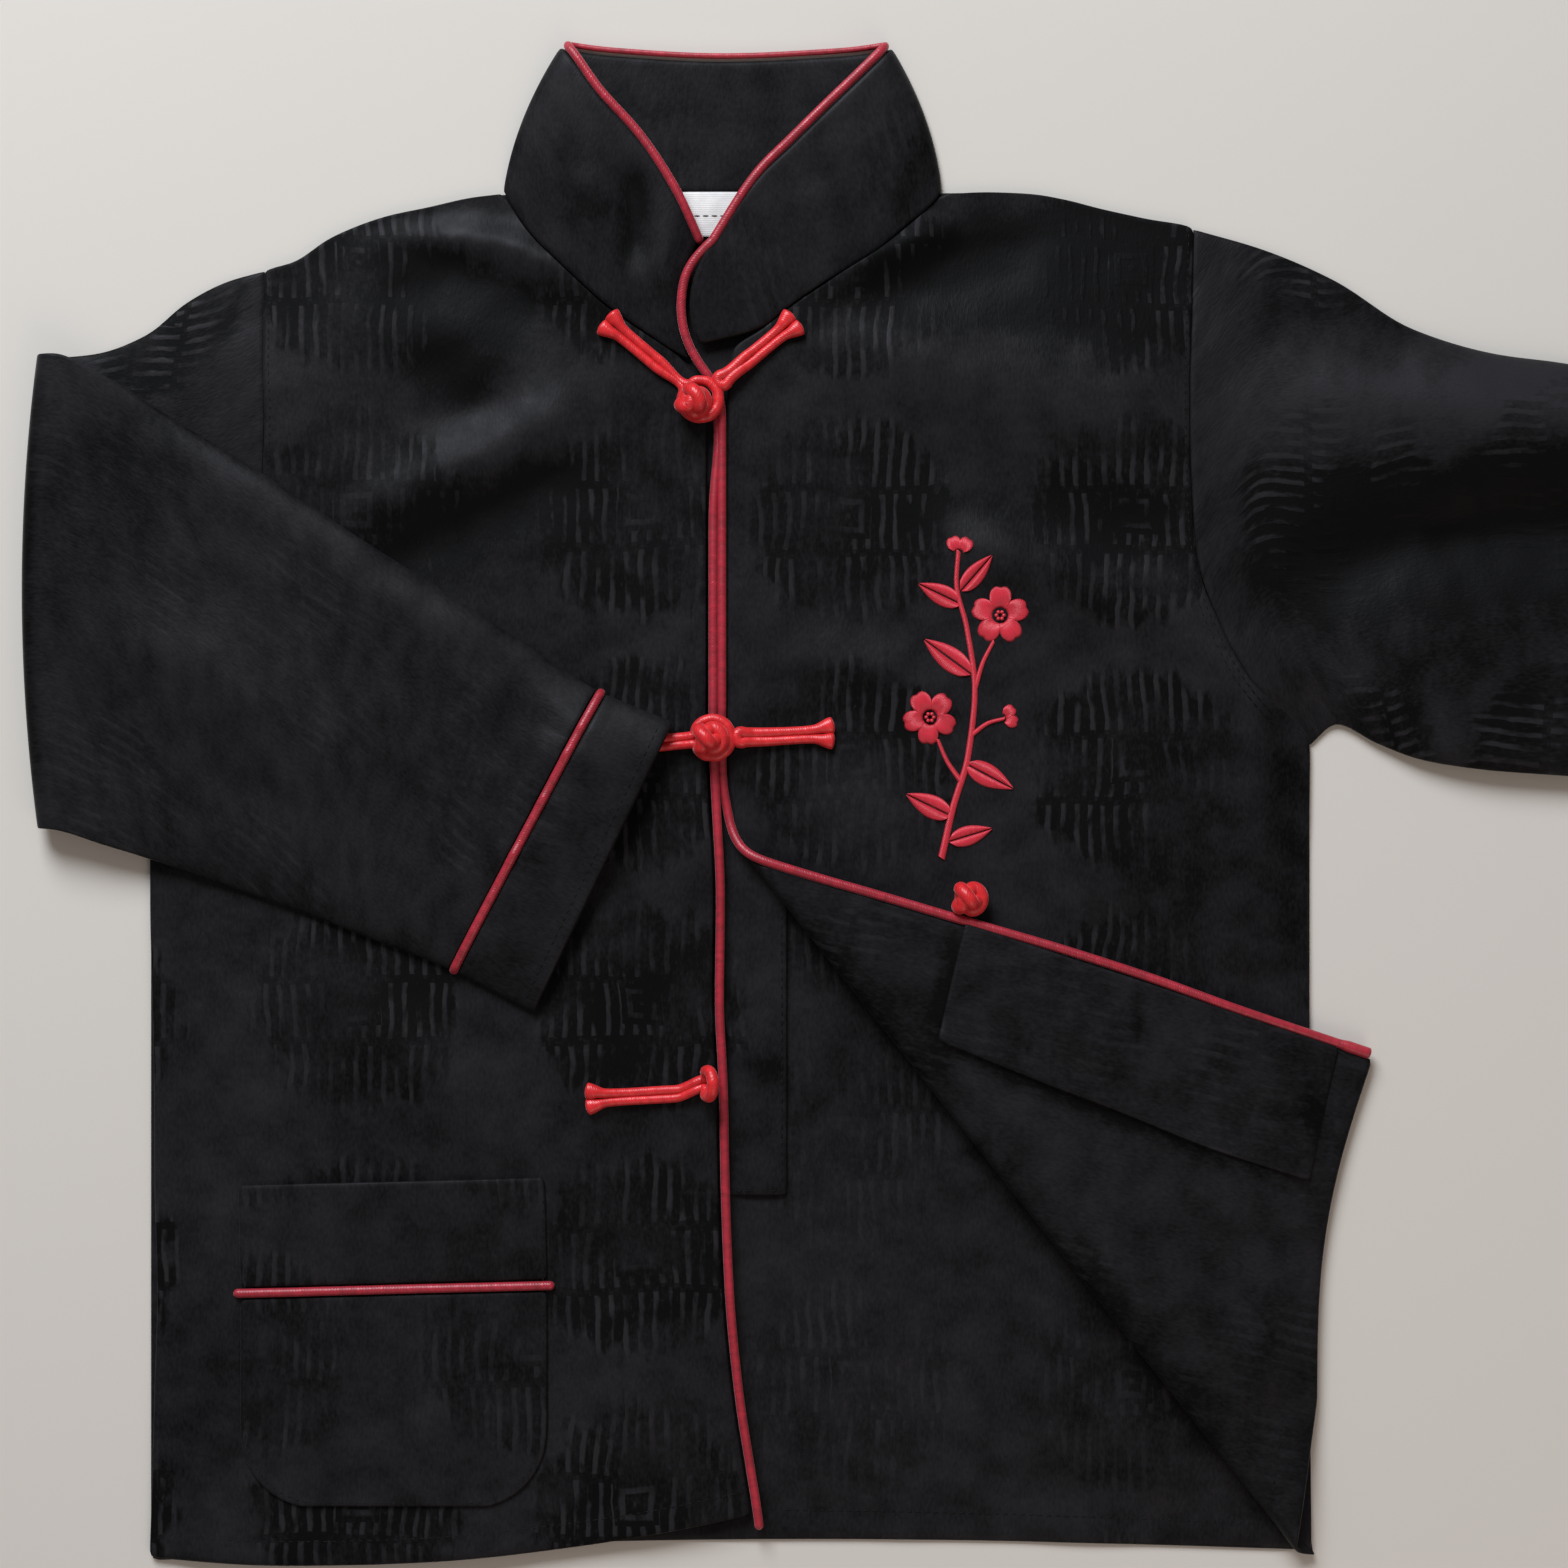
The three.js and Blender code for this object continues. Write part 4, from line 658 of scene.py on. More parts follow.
def as_sheet(piece, uv, node):
    """Works out the cross products and size of a cloth piece's flat pattern, which nothing uses, then hides
    the part that the piece stands for and attaches the piece.
    """
    a, b, c, d = uv[:-1, :-1], uv[:-1, 1:], uv[1:, 1:], uv[1:, :-1]
    cross = (c - a)[..., 0] * (d - b)[..., 1] - (c - a)[..., 1] * (d - b)[..., 0]
    size = uv.reshape(-1, 2).max(axis=0) - uv.reshape(-1, 2).min(axis=0)
    stand_in(piece, node, "cloth" if node != "label" else "label")


def panel(node, grid, uv, material, held, rests_on, name=None, **look):
    """A cloth piece with its flat pattern, named after the node that it stands for."""
    piece = cloth_piece(name or f"look_{node}", grid, uv, material, **look)
    as_sheet(piece, uv, node)


def stand_in(piece, node, slot):
    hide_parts(node)
    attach(piece, "root")


def frames_along(path, closed):
    """Unit vectors along a path, level across it, and square to both."""
    if closed:
        ahead = np.roll(path, -1, axis=0) - np.roll(path, 1, axis=0)
    else:
        ahead = np.gradient(path, axis=0)
    ahead = unit(ahead)
    side = np.cross(ahead, (0.0, 0.0, 1.0))
    upright = np.linalg.norm(side, axis=1) < 0.05
    side[upright] = np.cross(ahead[upright], (0.0, 1.0, 0.0))
    side = unit(side)
    return ahead, side, np.cross(side, ahead)


def spokes(side, up, turn):
    """Unit vectors round each point of a path, from its two vectors across it."""
    return np.cos(turn)[None, :, None] * side[:, None] + np.sin(turn)[None, :, None] * up[:, None]


def ring_faces(below, above):
    """Faces, pointing out, between neighbouring rings of a tube."""
    corners = [below, above, np.roll(above, -1, -1), np.roll(below, -1, -1)]
    return np.stack(corners, axis=-1).reshape(-1, 4).tolist()


# Rings of a tube's rounded end: their share of its radius, and how far out they are
TUBE_CAP = [(0.95, 0.25), (0.7, 0.62), (0.3, 0.9)]
# Rings of a short thread: their place along it, their share of its radius, and their share of its arch
STRAND = [(0.0, 0.35, -1.2), (0.12, 0.85, 0.1), (0.5, 1.0, 1.0), (0.88, 0.85, 0.1), (1.0, 0.35, -1.2)]


def tube_part(path, radius, sides=12, closed=False, flat=1.0, blunt=1.0):
    """Points, faces and pattern places of a tube, with rounded ends unless it is closed."""
    path = np.asarray(path, float)
    radius = np.broadcast_to(np.asarray(radius, float), (len(path),)).copy()
    flat = np.broadcast_to(np.asarray(flat, float), (len(path),)).copy()
    ahead, side, up = frames_along(path, closed)
    if not closed:
        wide, out = np.array(TUBE_CAP).T
        start = path[0] - np.outer(out[::-1], ahead[0]) * radius[0] * blunt
        end = path[-1] + np.outer(out, ahead[-1]) * radius[-1] * blunt
        path = np.vstack([start, path, end])
        radius = np.concatenate([radius[0] * wide[::-1], radius, radius[-1] * wide])
        more = len(TUBE_CAP)
        side, up = (np.pad(across, ((more, more), (0, 0)), "edge") for across in (side, up))
        flat = np.pad(flat, more, "edge")
    turn = np.arange(sides) * 2 * math.pi / sides
    points = path[:, None] + spokes(side, up * flat[:, None], turn) * radius[:, None, None]
    index = np.arange(len(path) * sides).reshape(len(path), sides)
    below = index if closed else index[:-1]
    above = np.roll(index, -1, axis=0) if closed else index[1:]
    faces = ring_faces(below, above)
    if not closed:
        faces += [index[0].tolist(), index[-1][::-1].tolist()]
    uv = stacked(lengths(path)[:, None], turn * PIPING / 2)
    return points.reshape(-1, 3), faces, uv.reshape(-1, 2)


def strand_part(starts, ends, radius, arch, sides=5):
    """Short threads between pairs of points, each arched up in its middle and tucked in at its ends."""
    place, thick, lift = np.array(STRAND).T
    count, rings = len(starts), len(place)
    ahead = unit(ends - starts)
    side = unit(np.cross(ahead, (0.0, 0.0, 1.0)))
    up = np.cross(side, ahead)
    centre = starts[:, None] + (ends - starts)[:, None] * place[None, :, None]
    centre = centre + up[:, None] * (lift * arch)[None, :, None]
    ring = spokes(side, up, np.arange(sides) * 2 * math.pi / sides)
    points = centre[:, :, None] + ring[:, None] * (thick * radius)[None, :, None, None]
    index = np.arange(count * rings * sides).reshape(count, rings, sides)
    faces = ring_faces(index[:, :-1], index[:, 1:]) + index[:, 0].tolist() + index[:, -1, ::-1].tolist()
    apart, long = 0.003, 0.006
    uv = stacked(np.arange(count)[:, None, None] * apart, place[:, None] * long + np.zeros(sides))
    return points.reshape(-1, 3), faces, uv.reshape(-1, 2)


def joined(name, parts, material):
    """One piece from several parts of points, faces and pattern places."""
    points, faces, uv, offset = [], [], [], 0
    for part_points, part_faces, part_uv in parts:
        points.append(part_points)
        faces += [[corner + offset for corner in face] for face in part_faces]
        uv.append(part_uv)
        offset += len(part_points)
    return new_piece(name, np.vstack(points), faces, np.vstack(uv), material)


def softened(path, span):
    """A path with its small kinks rounded off over a number of points; its ends stay."""
    weights = np.hanning(2 * span + 3)[1:-1]
    before, after = 2 * path[0] - path[span:0:-1], 2 * path[-1] - path[-2 : -span - 2 : -1]
    padded = np.vstack([before, path, after])
    return np.column_stack([np.convolve(axis, weights / weights.sum(), "valid") for axis in padded.T])


def on_surface(line, height, lift):
    """The points of a plan line, lifted to a surface."""
    x, y = np.asarray(line, float).T
    return stacked(x, y, height(x, y) + lift)


# Materials
class Value:
    """A number that varies over a surface, with arithmetic that adds nodes."""

    def __init__(self, graph, socket):
        self.graph = graph
        self.socket = socket

    def __add__(self, other):
        return self.graph.math("ADD", self, other)

    def __sub__(self, other):
        return self.graph.math("SUBTRACT", self, other)

    def __mul__(self, other):
        return self.graph.math("MULTIPLY", self, other)

    def less(self, other):
        return self.graph.math("LESS_THAN", self, other)

    def size(self):
        return self.graph.math("ABSOLUTE", self)


class Graph:
    """The nodes of one material."""

    def __init__(self, name, **inputs):
        self.material = bpy.data.materials.new(name)
        self.material.use_nodes = True
        self.tree = self.material.node_tree
        self.shader = self.tree.nodes["Principled BSDF"]
        for key, value in inputs.items():
            self.shader.inputs[key.replace("_", " ")].default_value = value
        pattern = self.tree.nodes.new("ShaderNodeUVMap")
        pattern.uv_map = "Pattern"
        self.place = pattern.outputs["UV"]

    def math(self, operation, *values):
        node = self.tree.nodes.new("ShaderNodeMath")
        node.operation = operation
        for socket, value in zip(node.inputs, values):
            if isinstance(value, Value):
                self.tree.links.new(value.socket, socket)
            else:
                socket.default_value = value
        return Value(self, node.outputs[0])

    def pattern(self):
        node = self.tree.nodes.new("ShaderNodeSeparateXYZ")
        self.tree.links.new(self.place, node.inputs[0])
        return Value(self, node.outputs["X"]), Value(self, node.outputs["Y"])

    def attribute(self, name):
        """A number that the mesh holds for each of its points."""
        node = self.tree.nodes.new("ShaderNodeAttribute")
        node.attribute_name = name
        return Value(self, node.outputs["Fac"])

    def noise(self, length, detail=3.0, stretch=(1.0, 1.0)):
        """Noise of about a length in the flat pattern, from 0 to 1; stretch draws it out along u or v."""
        scale = self.tree.nodes.new("ShaderNodeMapping")
        scale.inputs["Scale"].default_value = (1.0 / length / stretch[0], 1.0 / length / stretch[1], 1.0)
        node = self.tree.nodes.new("ShaderNodeTexNoise")
        node.inputs["Scale"].default_value = 1.0
        node.inputs["Detail"].default_value = detail
        self.tree.links.new(self.place, scale.inputs["Vector"])
        self.tree.links.new(scale.outputs["Vector"], node.inputs["Vector"])
        return Value(self, node.outputs[0])

    def spread(self, value, low, high, start=0.0, end=1.0):
        """A value taken from one range to another and held inside it."""
        node = self.tree.nodes.new("ShaderNodeMapRange")
        for key, number in zip(("From Min", "From Max", "To Min", "To Max"), (start, end, low, high)):
            node.inputs[key].default_value = number
        self.tree.links.new(value.socket, node.inputs["Value"])
        return Value(self, node.outputs[0])

    def mix(self, factor, first, second):
        """Between two values by a factor."""
        return factor * second + (factor * -1.0 + 1.0) * first

    def colour(self, tone, stops_of_colour):
        """Colours the surface by a value from 0 to 1, through the given stops."""
        node = self.tree.nodes.new("ShaderNodeValToRGB")
        ramp = node.color_ramp
        while len(ramp.elements) < len(stops_of_colour):
            ramp.elements.new(0.5)
        for element, (at, rgb) in zip(ramp.elements, stops_of_colour):
            element.position = at
            element.color = (*rgb, 1.0)
        self.tree.links.new(tone.socket, node.inputs["Fac"])
        self.tree.links.new(node.outputs["Color"], self.shader.inputs["Base Color"])

    def rough(self, value):
        self.tree.links.new(value.socket, self.shader.inputs["Roughness"])

    def bump(self, height, strength=1.0):
        """Bumps of a height in metres."""
        node = self.tree.nodes.new("ShaderNodeBump")
        node.inputs["Distance"].default_value = 1.0
        node.inputs["Strength"].default_value = strength
        self.tree.links.new(height.socket, node.inputs["Height"])
        self.tree.links.new(node.outputs["Normal"], self.shader.inputs["Normal"])


def medallion(graph, motif):
    """The woven pattern: how light each place is on a thin bar, and how far inside a dark medallion."""
    u, v = graph.pattern()
    half_u, half_v = MEDALLION["step_u"] / 2, MEDALLION["step_v"] / 2
    pitch, row = MEDALLION["pitch"], MEDALLION["row"] * MEDALLION["pitch"]
    sway = (graph.noise(0.01, 2.0) - 0.5) * 0.0022 + (graph.noise(0.045, 1.0) - 0.5) * 0.009
    du = graph.math("WRAP", u - motif[0], half_u, -half_u) + sway
    dv = graph.math("WRAP", v - motif[1], half_v, -half_v) + sway
    ragged = (graph.noise(0.006, 3.0, (1.0, 2.0)) - 0.5) * MEDALLION["ragged"]
    away = graph.math("SQRT", du * du + dv * dv) + ragged
    radius, edge = MEDALLION["radius"], MEDALLION["edge"]
    inside = graph.spread(away, 1.0, 0.0, radius - edge, radius + edge)

    def stripe(value, light=MEDALLION["light"]):
        """Soft-edged light bars, a pitch apart; whole pitches are added to keep the value above zero."""
        place = graph.math("FRACT", value * (1.0 / pitch) + 50.25)
        return graph.spread((place - light / 2).size(), 1.0, 0.0, light / 2 - 0.08, light / 2 + 0.1)

    box_way = graph.math("MAXIMUM", du.size(), (dv - 0.4 * pitch).size())
    in_square = box_way.less(MEDALLION["fret"] * pitch)
    fret = graph.mix(in_square, stripe(du + pitch / 2), stripe(box_way, 0.42) * 0.7)
    bars = graph.mix(dv.size().less(row), stripe(du), fret)
    gap = (dv.size() - row).size().less(0.3 * pitch)
    broken = graph.spread(graph.noise(0.007, 2.0, (0.8, 2.4)), 0.0, 1.0, 0.34, 0.5)
    patchy = graph.spread(graph.noise(0.026, 2.0), 0.1, 1.0, 0.38, 0.54)
    shown = graph.spread(graph.noise(0.075, 2.0), 0.2, 1.0, 0.36, 0.54)
    inside = inside * shown
    return bars * broken * patchy * inside * (gap * -0.8 + 1.0), inside * (patchy * 0.5 + 0.5)


def cloth_material(name, motif, contrast=1.0, fades=None):
    """Black jacquard satin: a softly mottled ground and dark matt medallions with lighter bars.
    The woven pattern can be fainter past the front's fold, or past a run down a sleeve."""
    graph = Graph(name, Sheen_Weight=0.02, Sheen_Roughness=0.4, Specular_IOR_Level=0.09)
    bars, inside = medallion(graph, motif)
    if fades:
        u, v = graph.pattern()
        past = v
        if fades["along"] == "front":
            past = (u - FLAP_TOP[0]) * FLAP_ACROSS[0] + (v - FLAP_TOP[1]) * FLAP_ACROSS[1]
        shown = graph.spread(past, 1.0, fades["to"], fades["start"], fades["end"])
        bars, inside = bars * shown, inside * shown
    mottle = graph.noise(0.013, 5.0)
    broad = graph.noise(0.075, 2.0)
    grain = graph.noise(0.0011, 3.0, (1.0, 2.2))
    thread = graph.noise(0.00045, 1.0, (1.0, 7.0))
    ground = graph.spread(mottle, 0.28, 0.74, 0.32, 0.68) + graph.spread(broad, -0.17, 0.17, 0.32, 0.68)
    glint = graph.spread(grain, 0.0, 0.45, 0.64, 0.76) * inside
    woven = bars * (1.15 * contrast) + inside * (-0.66 * contrast) + glint * contrast
    fine = graph.spread(grain, -0.16, 0.16, 0.3, 0.7) + graph.spread(thread, -0.06, 0.06)
    # The painted shade and painted highlight that each point holds darken or lighten the colour
    tone = ground + woven + fine + graph.attribute("PaintedShade") * 0.75
    graph.colour(tone, [(0.0, CLOTH_DARK), (1.0, CLOTH_BRIGHT)])
    graph.rough(graph.spread(mottle, 0.54, 0.44, 0.3, 0.7) + (inside - bars) * (0.16 * contrast))
    graph.bump(thread * 0.00003 + grain * 0.0001 + mottle * 0.00022 + bars * (0.00012 * contrast))
    return graph.material


def satin_material(name, deep, bright, line, rough=0.38):
    """Satin wound or cut on the bias: fine slanting lines and soft wrinkles along its length, with painted
    shade in the wrinkles' hollows and painted highlight on their tops.
    """
    graph = Graph(name, Sheen_Weight=0.25, Sheen_Roughness=0.35, Specular_IOR_Level=0.5)
    graph.shader.inputs["Sheen Tint"].default_value = (1.0, 0.75, 0.75, 1.0)
    along, around = graph.pattern()
    slant = graph.math("SINE", (along + around * 0.8) * (2 * math.pi / line))
    wrinkle_and_shade = graph.noise(0.003, 3.0, (0.7, 2.0))
    patch = graph.noise(0.018, 2.0)
    # Painted shade and painted highlight: the colour is darker in the wrinkles' hollows and lighter on their
    # tops
    tone = graph.spread(wrinkle_and_shade, 0.2, 0.75, 0.3, 0.7) + slant * 0.06
    tone = tone + graph.spread(patch, -0.15, 0.15, 0.3, 0.7)
    graph.colour(tone, [(0.0, deep), (1.0, bright)])
    graph.rough(graph.spread(wrinkle_and_shade, rough + 0.1, rough - 0.06, 0.3, 0.7))
    graph.bump(slant * 0.000018 + wrinkle_and_shade * 0.00022)
    return graph.material


def thread_material(name, deep, bright, rough, specular=0.5):
    """Embroidery or sewing thread, with fine fibres along each strand."""
    graph = Graph(name, Specular_IOR_Level=specular, Sheen_Weight=specular / 5)
    fibre = graph.noise(0.0006, 2.0, (1.0, 8.0))
    patch = graph.noise(0.004, 1.0)
    tone = graph.spread(fibre, 0.25, 0.75) + graph.spread(patch, -0.2, 0.2)
    graph.colour(tone, [(0.0, deep), (1.0, bright)])
    graph.rough(graph.spread(fibre, rough + 0.06, rough - 0.06))
    graph.bump(fibre * 0.00003)
    return graph.material


def label_material():
    """White woven satin ribbon with fine cross ribs."""
    graph = Graph("label_satin", Specular_IOR_Level=0.4, Sheen_Weight=0.2)
    _, across = graph.pattern()
    pitch = 0.0007
    rib = graph.math("SINE", across * (2 * math.pi / pitch))
    mottle = graph.noise(0.004, 3.0)
    tone = graph.spread(mottle, 0.2, 0.8, 0.3, 0.7) + rib * 0.06
    graph.colour(tone, [(0.0, LABEL_DARK), (1.0, LABEL_BRIGHT)])
    graph.rough(graph.spread(mottle, 0.55, 0.42))
    graph.bump(rib * 0.00002)
    return graph.material


CLOTHS = {name: cloth_material(f"jacquard_{name}", motif, STRENGTH.get(name, 1.0), FADES.get(name))
          for name, motif in MOTIFS.items()}
PIPING_SATIN = satin_material("piping_satin", (0.22, 0.008, 0.018), (0.5, 0.026, 0.048), 0.0011)
CORD_SATIN = satin_material("cord_satin", (0.48, 0.006, 0.009), (0.86, 0.034, 0.04), 0.0009, 0.34)
EMBROIDERY = thread_material("embroidery_thread", (0.46, 0.01, 0.026), (0.78, 0.04, 0.07), 0.36)
SEWING = thread_material("sewing_thread", (0.002, 0.002, 0.002), (0.009, 0.009, 0.01), 0.5, 0.12)
LABEL_SATIN = label_material()


# Panels
def panel_rows(shoulder, neck, rows):
    """The table of a front from the shoulder to the hem, and how far along it each row lies."""
    top = [(*side, *edge) for side, edge in zip(shoulder, neck)]
    table = np.array([*top, *rows])
    keys = (lengths(table[:, 0:2]) + lengths(table[:, 2:4])) / 2
    at = stops(keys, GRID)
    return through(keys, table, at), keys[-1] - at


def hem_weight(from_hem, columns):
    """1 in the turned-up hem, and 0 above it."""
    return np.where(from_hem < HEM, 1.0, 0.0)[:, None].repeat(columns, 1)


def near_hem(from_hem):
    """1 at the hem, and 0 above the part that curves with it."""
    return np.clip(1 - from_hem / HEM_CURVE, 0, 1)[:, None]


def between(rows, t):
    """Plan places from the first to the second edge of each row."""
    return lerp(rows[:, 0:1], rows[:, 2:3], t), lerp(rows[:, 1:2], rows[:, 3:4], t)


def front_right():
    rows, from_hem = panel_rows(SHOULDER_RIGHT, NECK_RIGHT, ROWS_RIGHT)
    t = np.linspace(0, 1, FRONT_COLUMNS)[None]
    x, y = between(rows, t)
    y = y + HEM_SAG * near_hem(from_hem) * 4 * t * (1 - t)
    panel("front_right", stacked(x, y, front_z(x, y)), stacked(x, y), CLOTHS["front_right"], "laid", ["back"],
          thicker=hem_weight(from_hem, FRONT_COLUMNS), shades=PAINTED_SHADES["front_right"])


def facing_edges():
    """Plan lines just outside the facing's free edge and its upper end, along which a painted shadow is laid
    on the front.
    """
    table, outside = np.array(FACING), 0.0016
    inner = left_front(table[:, 1] + outside, table[:, 2])[:, :2]
    across = np.linspace(table[0, 0], table[0, 1] + 0.004, 4)
    upper = left_front(across, np.full(4, table[0, 2] + outside))[:, :2]
    return inner, upper


def front_left():
    rows, from_hem = panel_rows(SHOULDER_LEFT, NECK_LEFT, ROWS_LEFT)
    start = past_fold(rows[:, 0], rows[:, 1])[:, None]
    end = past_fold(rows[:, 2], rows[:, 3])[:, None]
    before, rolled, after = LEFT_COLUMNS.values()
    fold, turned = np.minimum(end, 0), np.minimum(end, FLAP_TURN)
    past = np.hstack([
        lerp(start, fold, np.arange(before)[None] / before),
        lerp(fold, turned, np.arange(rolled)[None] / rolled),
        lerp(turned, end, np.arange(after + 1)[None] / after),
    ])
    t = (past - start) / (end - start)
    x, y = between(rows, t)
    y = y + FLAP_HEM_BEND * near_hem(from_hem) * np.sin(math.pi * np.clip(1.5 * (1 - t), 0, 1))
    inner, upper = facing_edges()
    # Painted shadow along the fold and just outside the facing's free edge and upper end
    shades = [*PAINTED_SHADES["front_left"], (-0.42, 0.0075, FLAP_LINE), (-0.9, 0.0038, inner), (-0.8, 0.0034, upper)]
    panel("front_left", left_front(x, y), stacked(x, y), CLOTHS["front_left"], "folded",
          ["back", "under_placket"], thicker=hem_weight(from_hem, past.shape[1]), shades=shades)


def back_z(x, y):
    """Height of the middle of the back; soft waves only where the turned-back front leaves it bare."""
    bare = ease((past_fold(x, y) - 0.01) / 0.03) * ease((x - PLACKET["right"]) / 0.015)
    inside = ease((SIDE_LEFT - x) / 0.02)
    waves = np.maximum(creases_or_painted_shade(BACK_CREASES, x, y) + 0.0004 * ripple(x, y, 0.045, 11), 0)
    return BACK_Z + bare * inside * waves


def back():
    right = [(SIDE_RIGHT, BACK_HEM_Y["right"]), *ARMHOLE_RIGHT[::-1], *SHOULDER_RIGHT[::-1]]
    left = [(SIDE_LEFT, BACK_HEM_Y["left"]), *ARMHOLE_LEFT[::-1], *SHOULDER_LEFT[::-1]]
    table = np.array([(*a, *b) for a, b in zip(right, left)])
    keys = (lengths(table[:, 0:2]) + lengths(table[:, 2:4])) / 2
    at = stops(keys, BACK_GRID)
    rows = through(keys, table, at)
    t = np.linspace(0, 1, BACK_COLUMNS)[None]
    x, y = between(rows, t)
    y = y + BACK_HEM_RISE * near_hem(at) * np.sin(math.pi * t)
    hem = hem_weight(at, BACK_COLUMNS)
    grid = stacked(x, y, back_z(x, y) + hem * CLOTH * (HEM_EXTRA - 1) / 2)
    # Painted highlight on the back, and a painted shadow along the front's fold
    panel("back", grid, stacked(x, y), CLOTHS["back"], "laid", ["floor"], thicker=hem,
          shades=[*PAINTED_SHADES["back"], (-0.6, 0.01, FLAP_LINE)])


def facing():
    """The strip along the turned-back edge, whose free edge curls up a little."""
    rows, columns = FACING_GRID
    table = np.array(FACING)
    at = np.linspace(table[0, 2], table[-1, 2], rows)
    ends = through(-table[:, 2], table[:, 0:2], -at)
    t = np.linspace(0, 1, columns)[None]
    x = lerp(ends[:, 0:1], ends[:, 1:2], t)
    y = at[:, None].repeat(columns, 1)
    grid = left_front(x, y)
    curl = 0.0019 * ease((t - 0.8) / 0.2) * (0.6 + 0.8 * ripple(y, x, 0.05, 21))
    grid[..., 2] += CLOTH + GAP + np.maximum(curl, 0)
    panel("facing_left", grid, stacked(x, y), CLOTHS["plain"], "laid", ["look_front_left"],
          name="look_facing", shades=PAINTED_SHADES["facing"])


def placket():
    x = np.linspace(PLACKET["left"], PLACKET["right"], 12)[None]
    y = np.arange(PLACKET["bottom"], PLACKET["top"], 0.005)[:, None]
    x, y = np.broadcast_arrays(x, y)
    low = ease((0.3 - y) / 0.03) * ease((x - 0.004) / 0.01)
    z = PLACKET_Z + low * (0.0006 + 0.0005 * ripple(x, y, 0.035, 31))
    panel("under_placket", stacked(x, y, z), stacked(x, y), CLOTHS["front_right"], "laid", ["back"],
          shades=PAINTED_SHADES["placket"])


def pocket_piece(node, left, right, y, open_top):
    """A part of the patch pocket, a row for each y; its top edge may stand a little open."""
    t = np.linspace(0, 1, 32)[None]
    up = ((y - y[0]) / (y[-1] - y[0]))[:, None]
    x = lerp(left[:, None], right[:, None], t)
    slope = POCKET["rise"] * t if open_top else POCKET["rise"] * t * up
    y = y[:, None] + slope
    puff = 0.0008 * np.sin(math.pi * t) * np.sin(math.pi * up) + open_top * up**2 * np.sin(math.pi * t) ** 0.6
    z = front_z(x, y) + CLOTH + GAP + np.maximum(puff + 0.0003 * ripple(x, y, 0.018, 41), 0)
    panel(node, stacked(x, y, z), stacked(x, y), CLOTHS["pocket"], "laid", ["look_front_right"])


def pocket():
    left, right, bottom = POCKET["left"], POCKET["right"], POCKET["bottom"]
    corner, top, band_top = POCKET["corner"], POCKET["top"], POCKET["band_top"]
    angle = np.linspace(0.18, math.pi / 2, 9)
    inset = np.concatenate([corner * (1 - np.sin(angle)), np.zeros(14)])
    rise = np.linspace(bottom + corner, top - EDGE_STEP, 15)[1:]
    y = np.concatenate([bottom + corner * (1 - np.cos(angle)), rise])
    pocket_piece("pocket", left + inset, right - inset, y, 0)
    y = np.linspace(top + EDGE_STEP, band_top, 11)
    wide = np.linspace(0, 0.001, 11)
    pocket_piece("pocket_band", left - wide, right - wide, y, 0.002)


def label():
    t, s = np.linspace(0, 1, 12)[None], np.linspace(0, 1, 9)[:, None]
    wide, high = LABEL["right"] - LABEL["left"], LABEL["top"] - LABEL["bottom"]
    x, y = LABEL["left"] + wide * t, LABEL["bottom"] + high * s
    z = LABEL_Z + LABEL_BULGE * np.sin(math.pi * t) * (0.4 + 0.6 * np.sin(math.pi * s))
    panel("label", stacked(x, y, z), stacked(x, y), LABEL_SATIN, "laid", ["back"], thickness=LABEL_CLOTH)


# Sleeves, each a closed ring of cloth at every run from the armhole to the cuff's end
AROUND = 78                # points round a sleeve
AROUND_PIPING = 220        # points round the piping in its cuff's seam
SIDES = {
    "right": {"table": SLEEVE_RIGHT, "armhole": ARMHOLE_RIGHT, "folded": True, "shift": 0.0003,
              "creases": SLEEVE_RIGHT_CREASES, "seed": 51},
    "left": {"table": SLEEVE_LEFT, "armhole": ARMHOLE_LEFT, "folded": False, "shift": -0.0003,
             "creases": SLEEVE_LEFT_CREASES, "seed": 52},
}


def pucker(run, across, seam, seed):
    """Small gathers that run out of the cuff's seam."""
    near = np.exp(-np.abs(run - seam) / 0.016)
    return 0.0016 * near * np.maximum(ripple(across, run * 0.2, 0.011, seed, 5) - 0.1, 0)


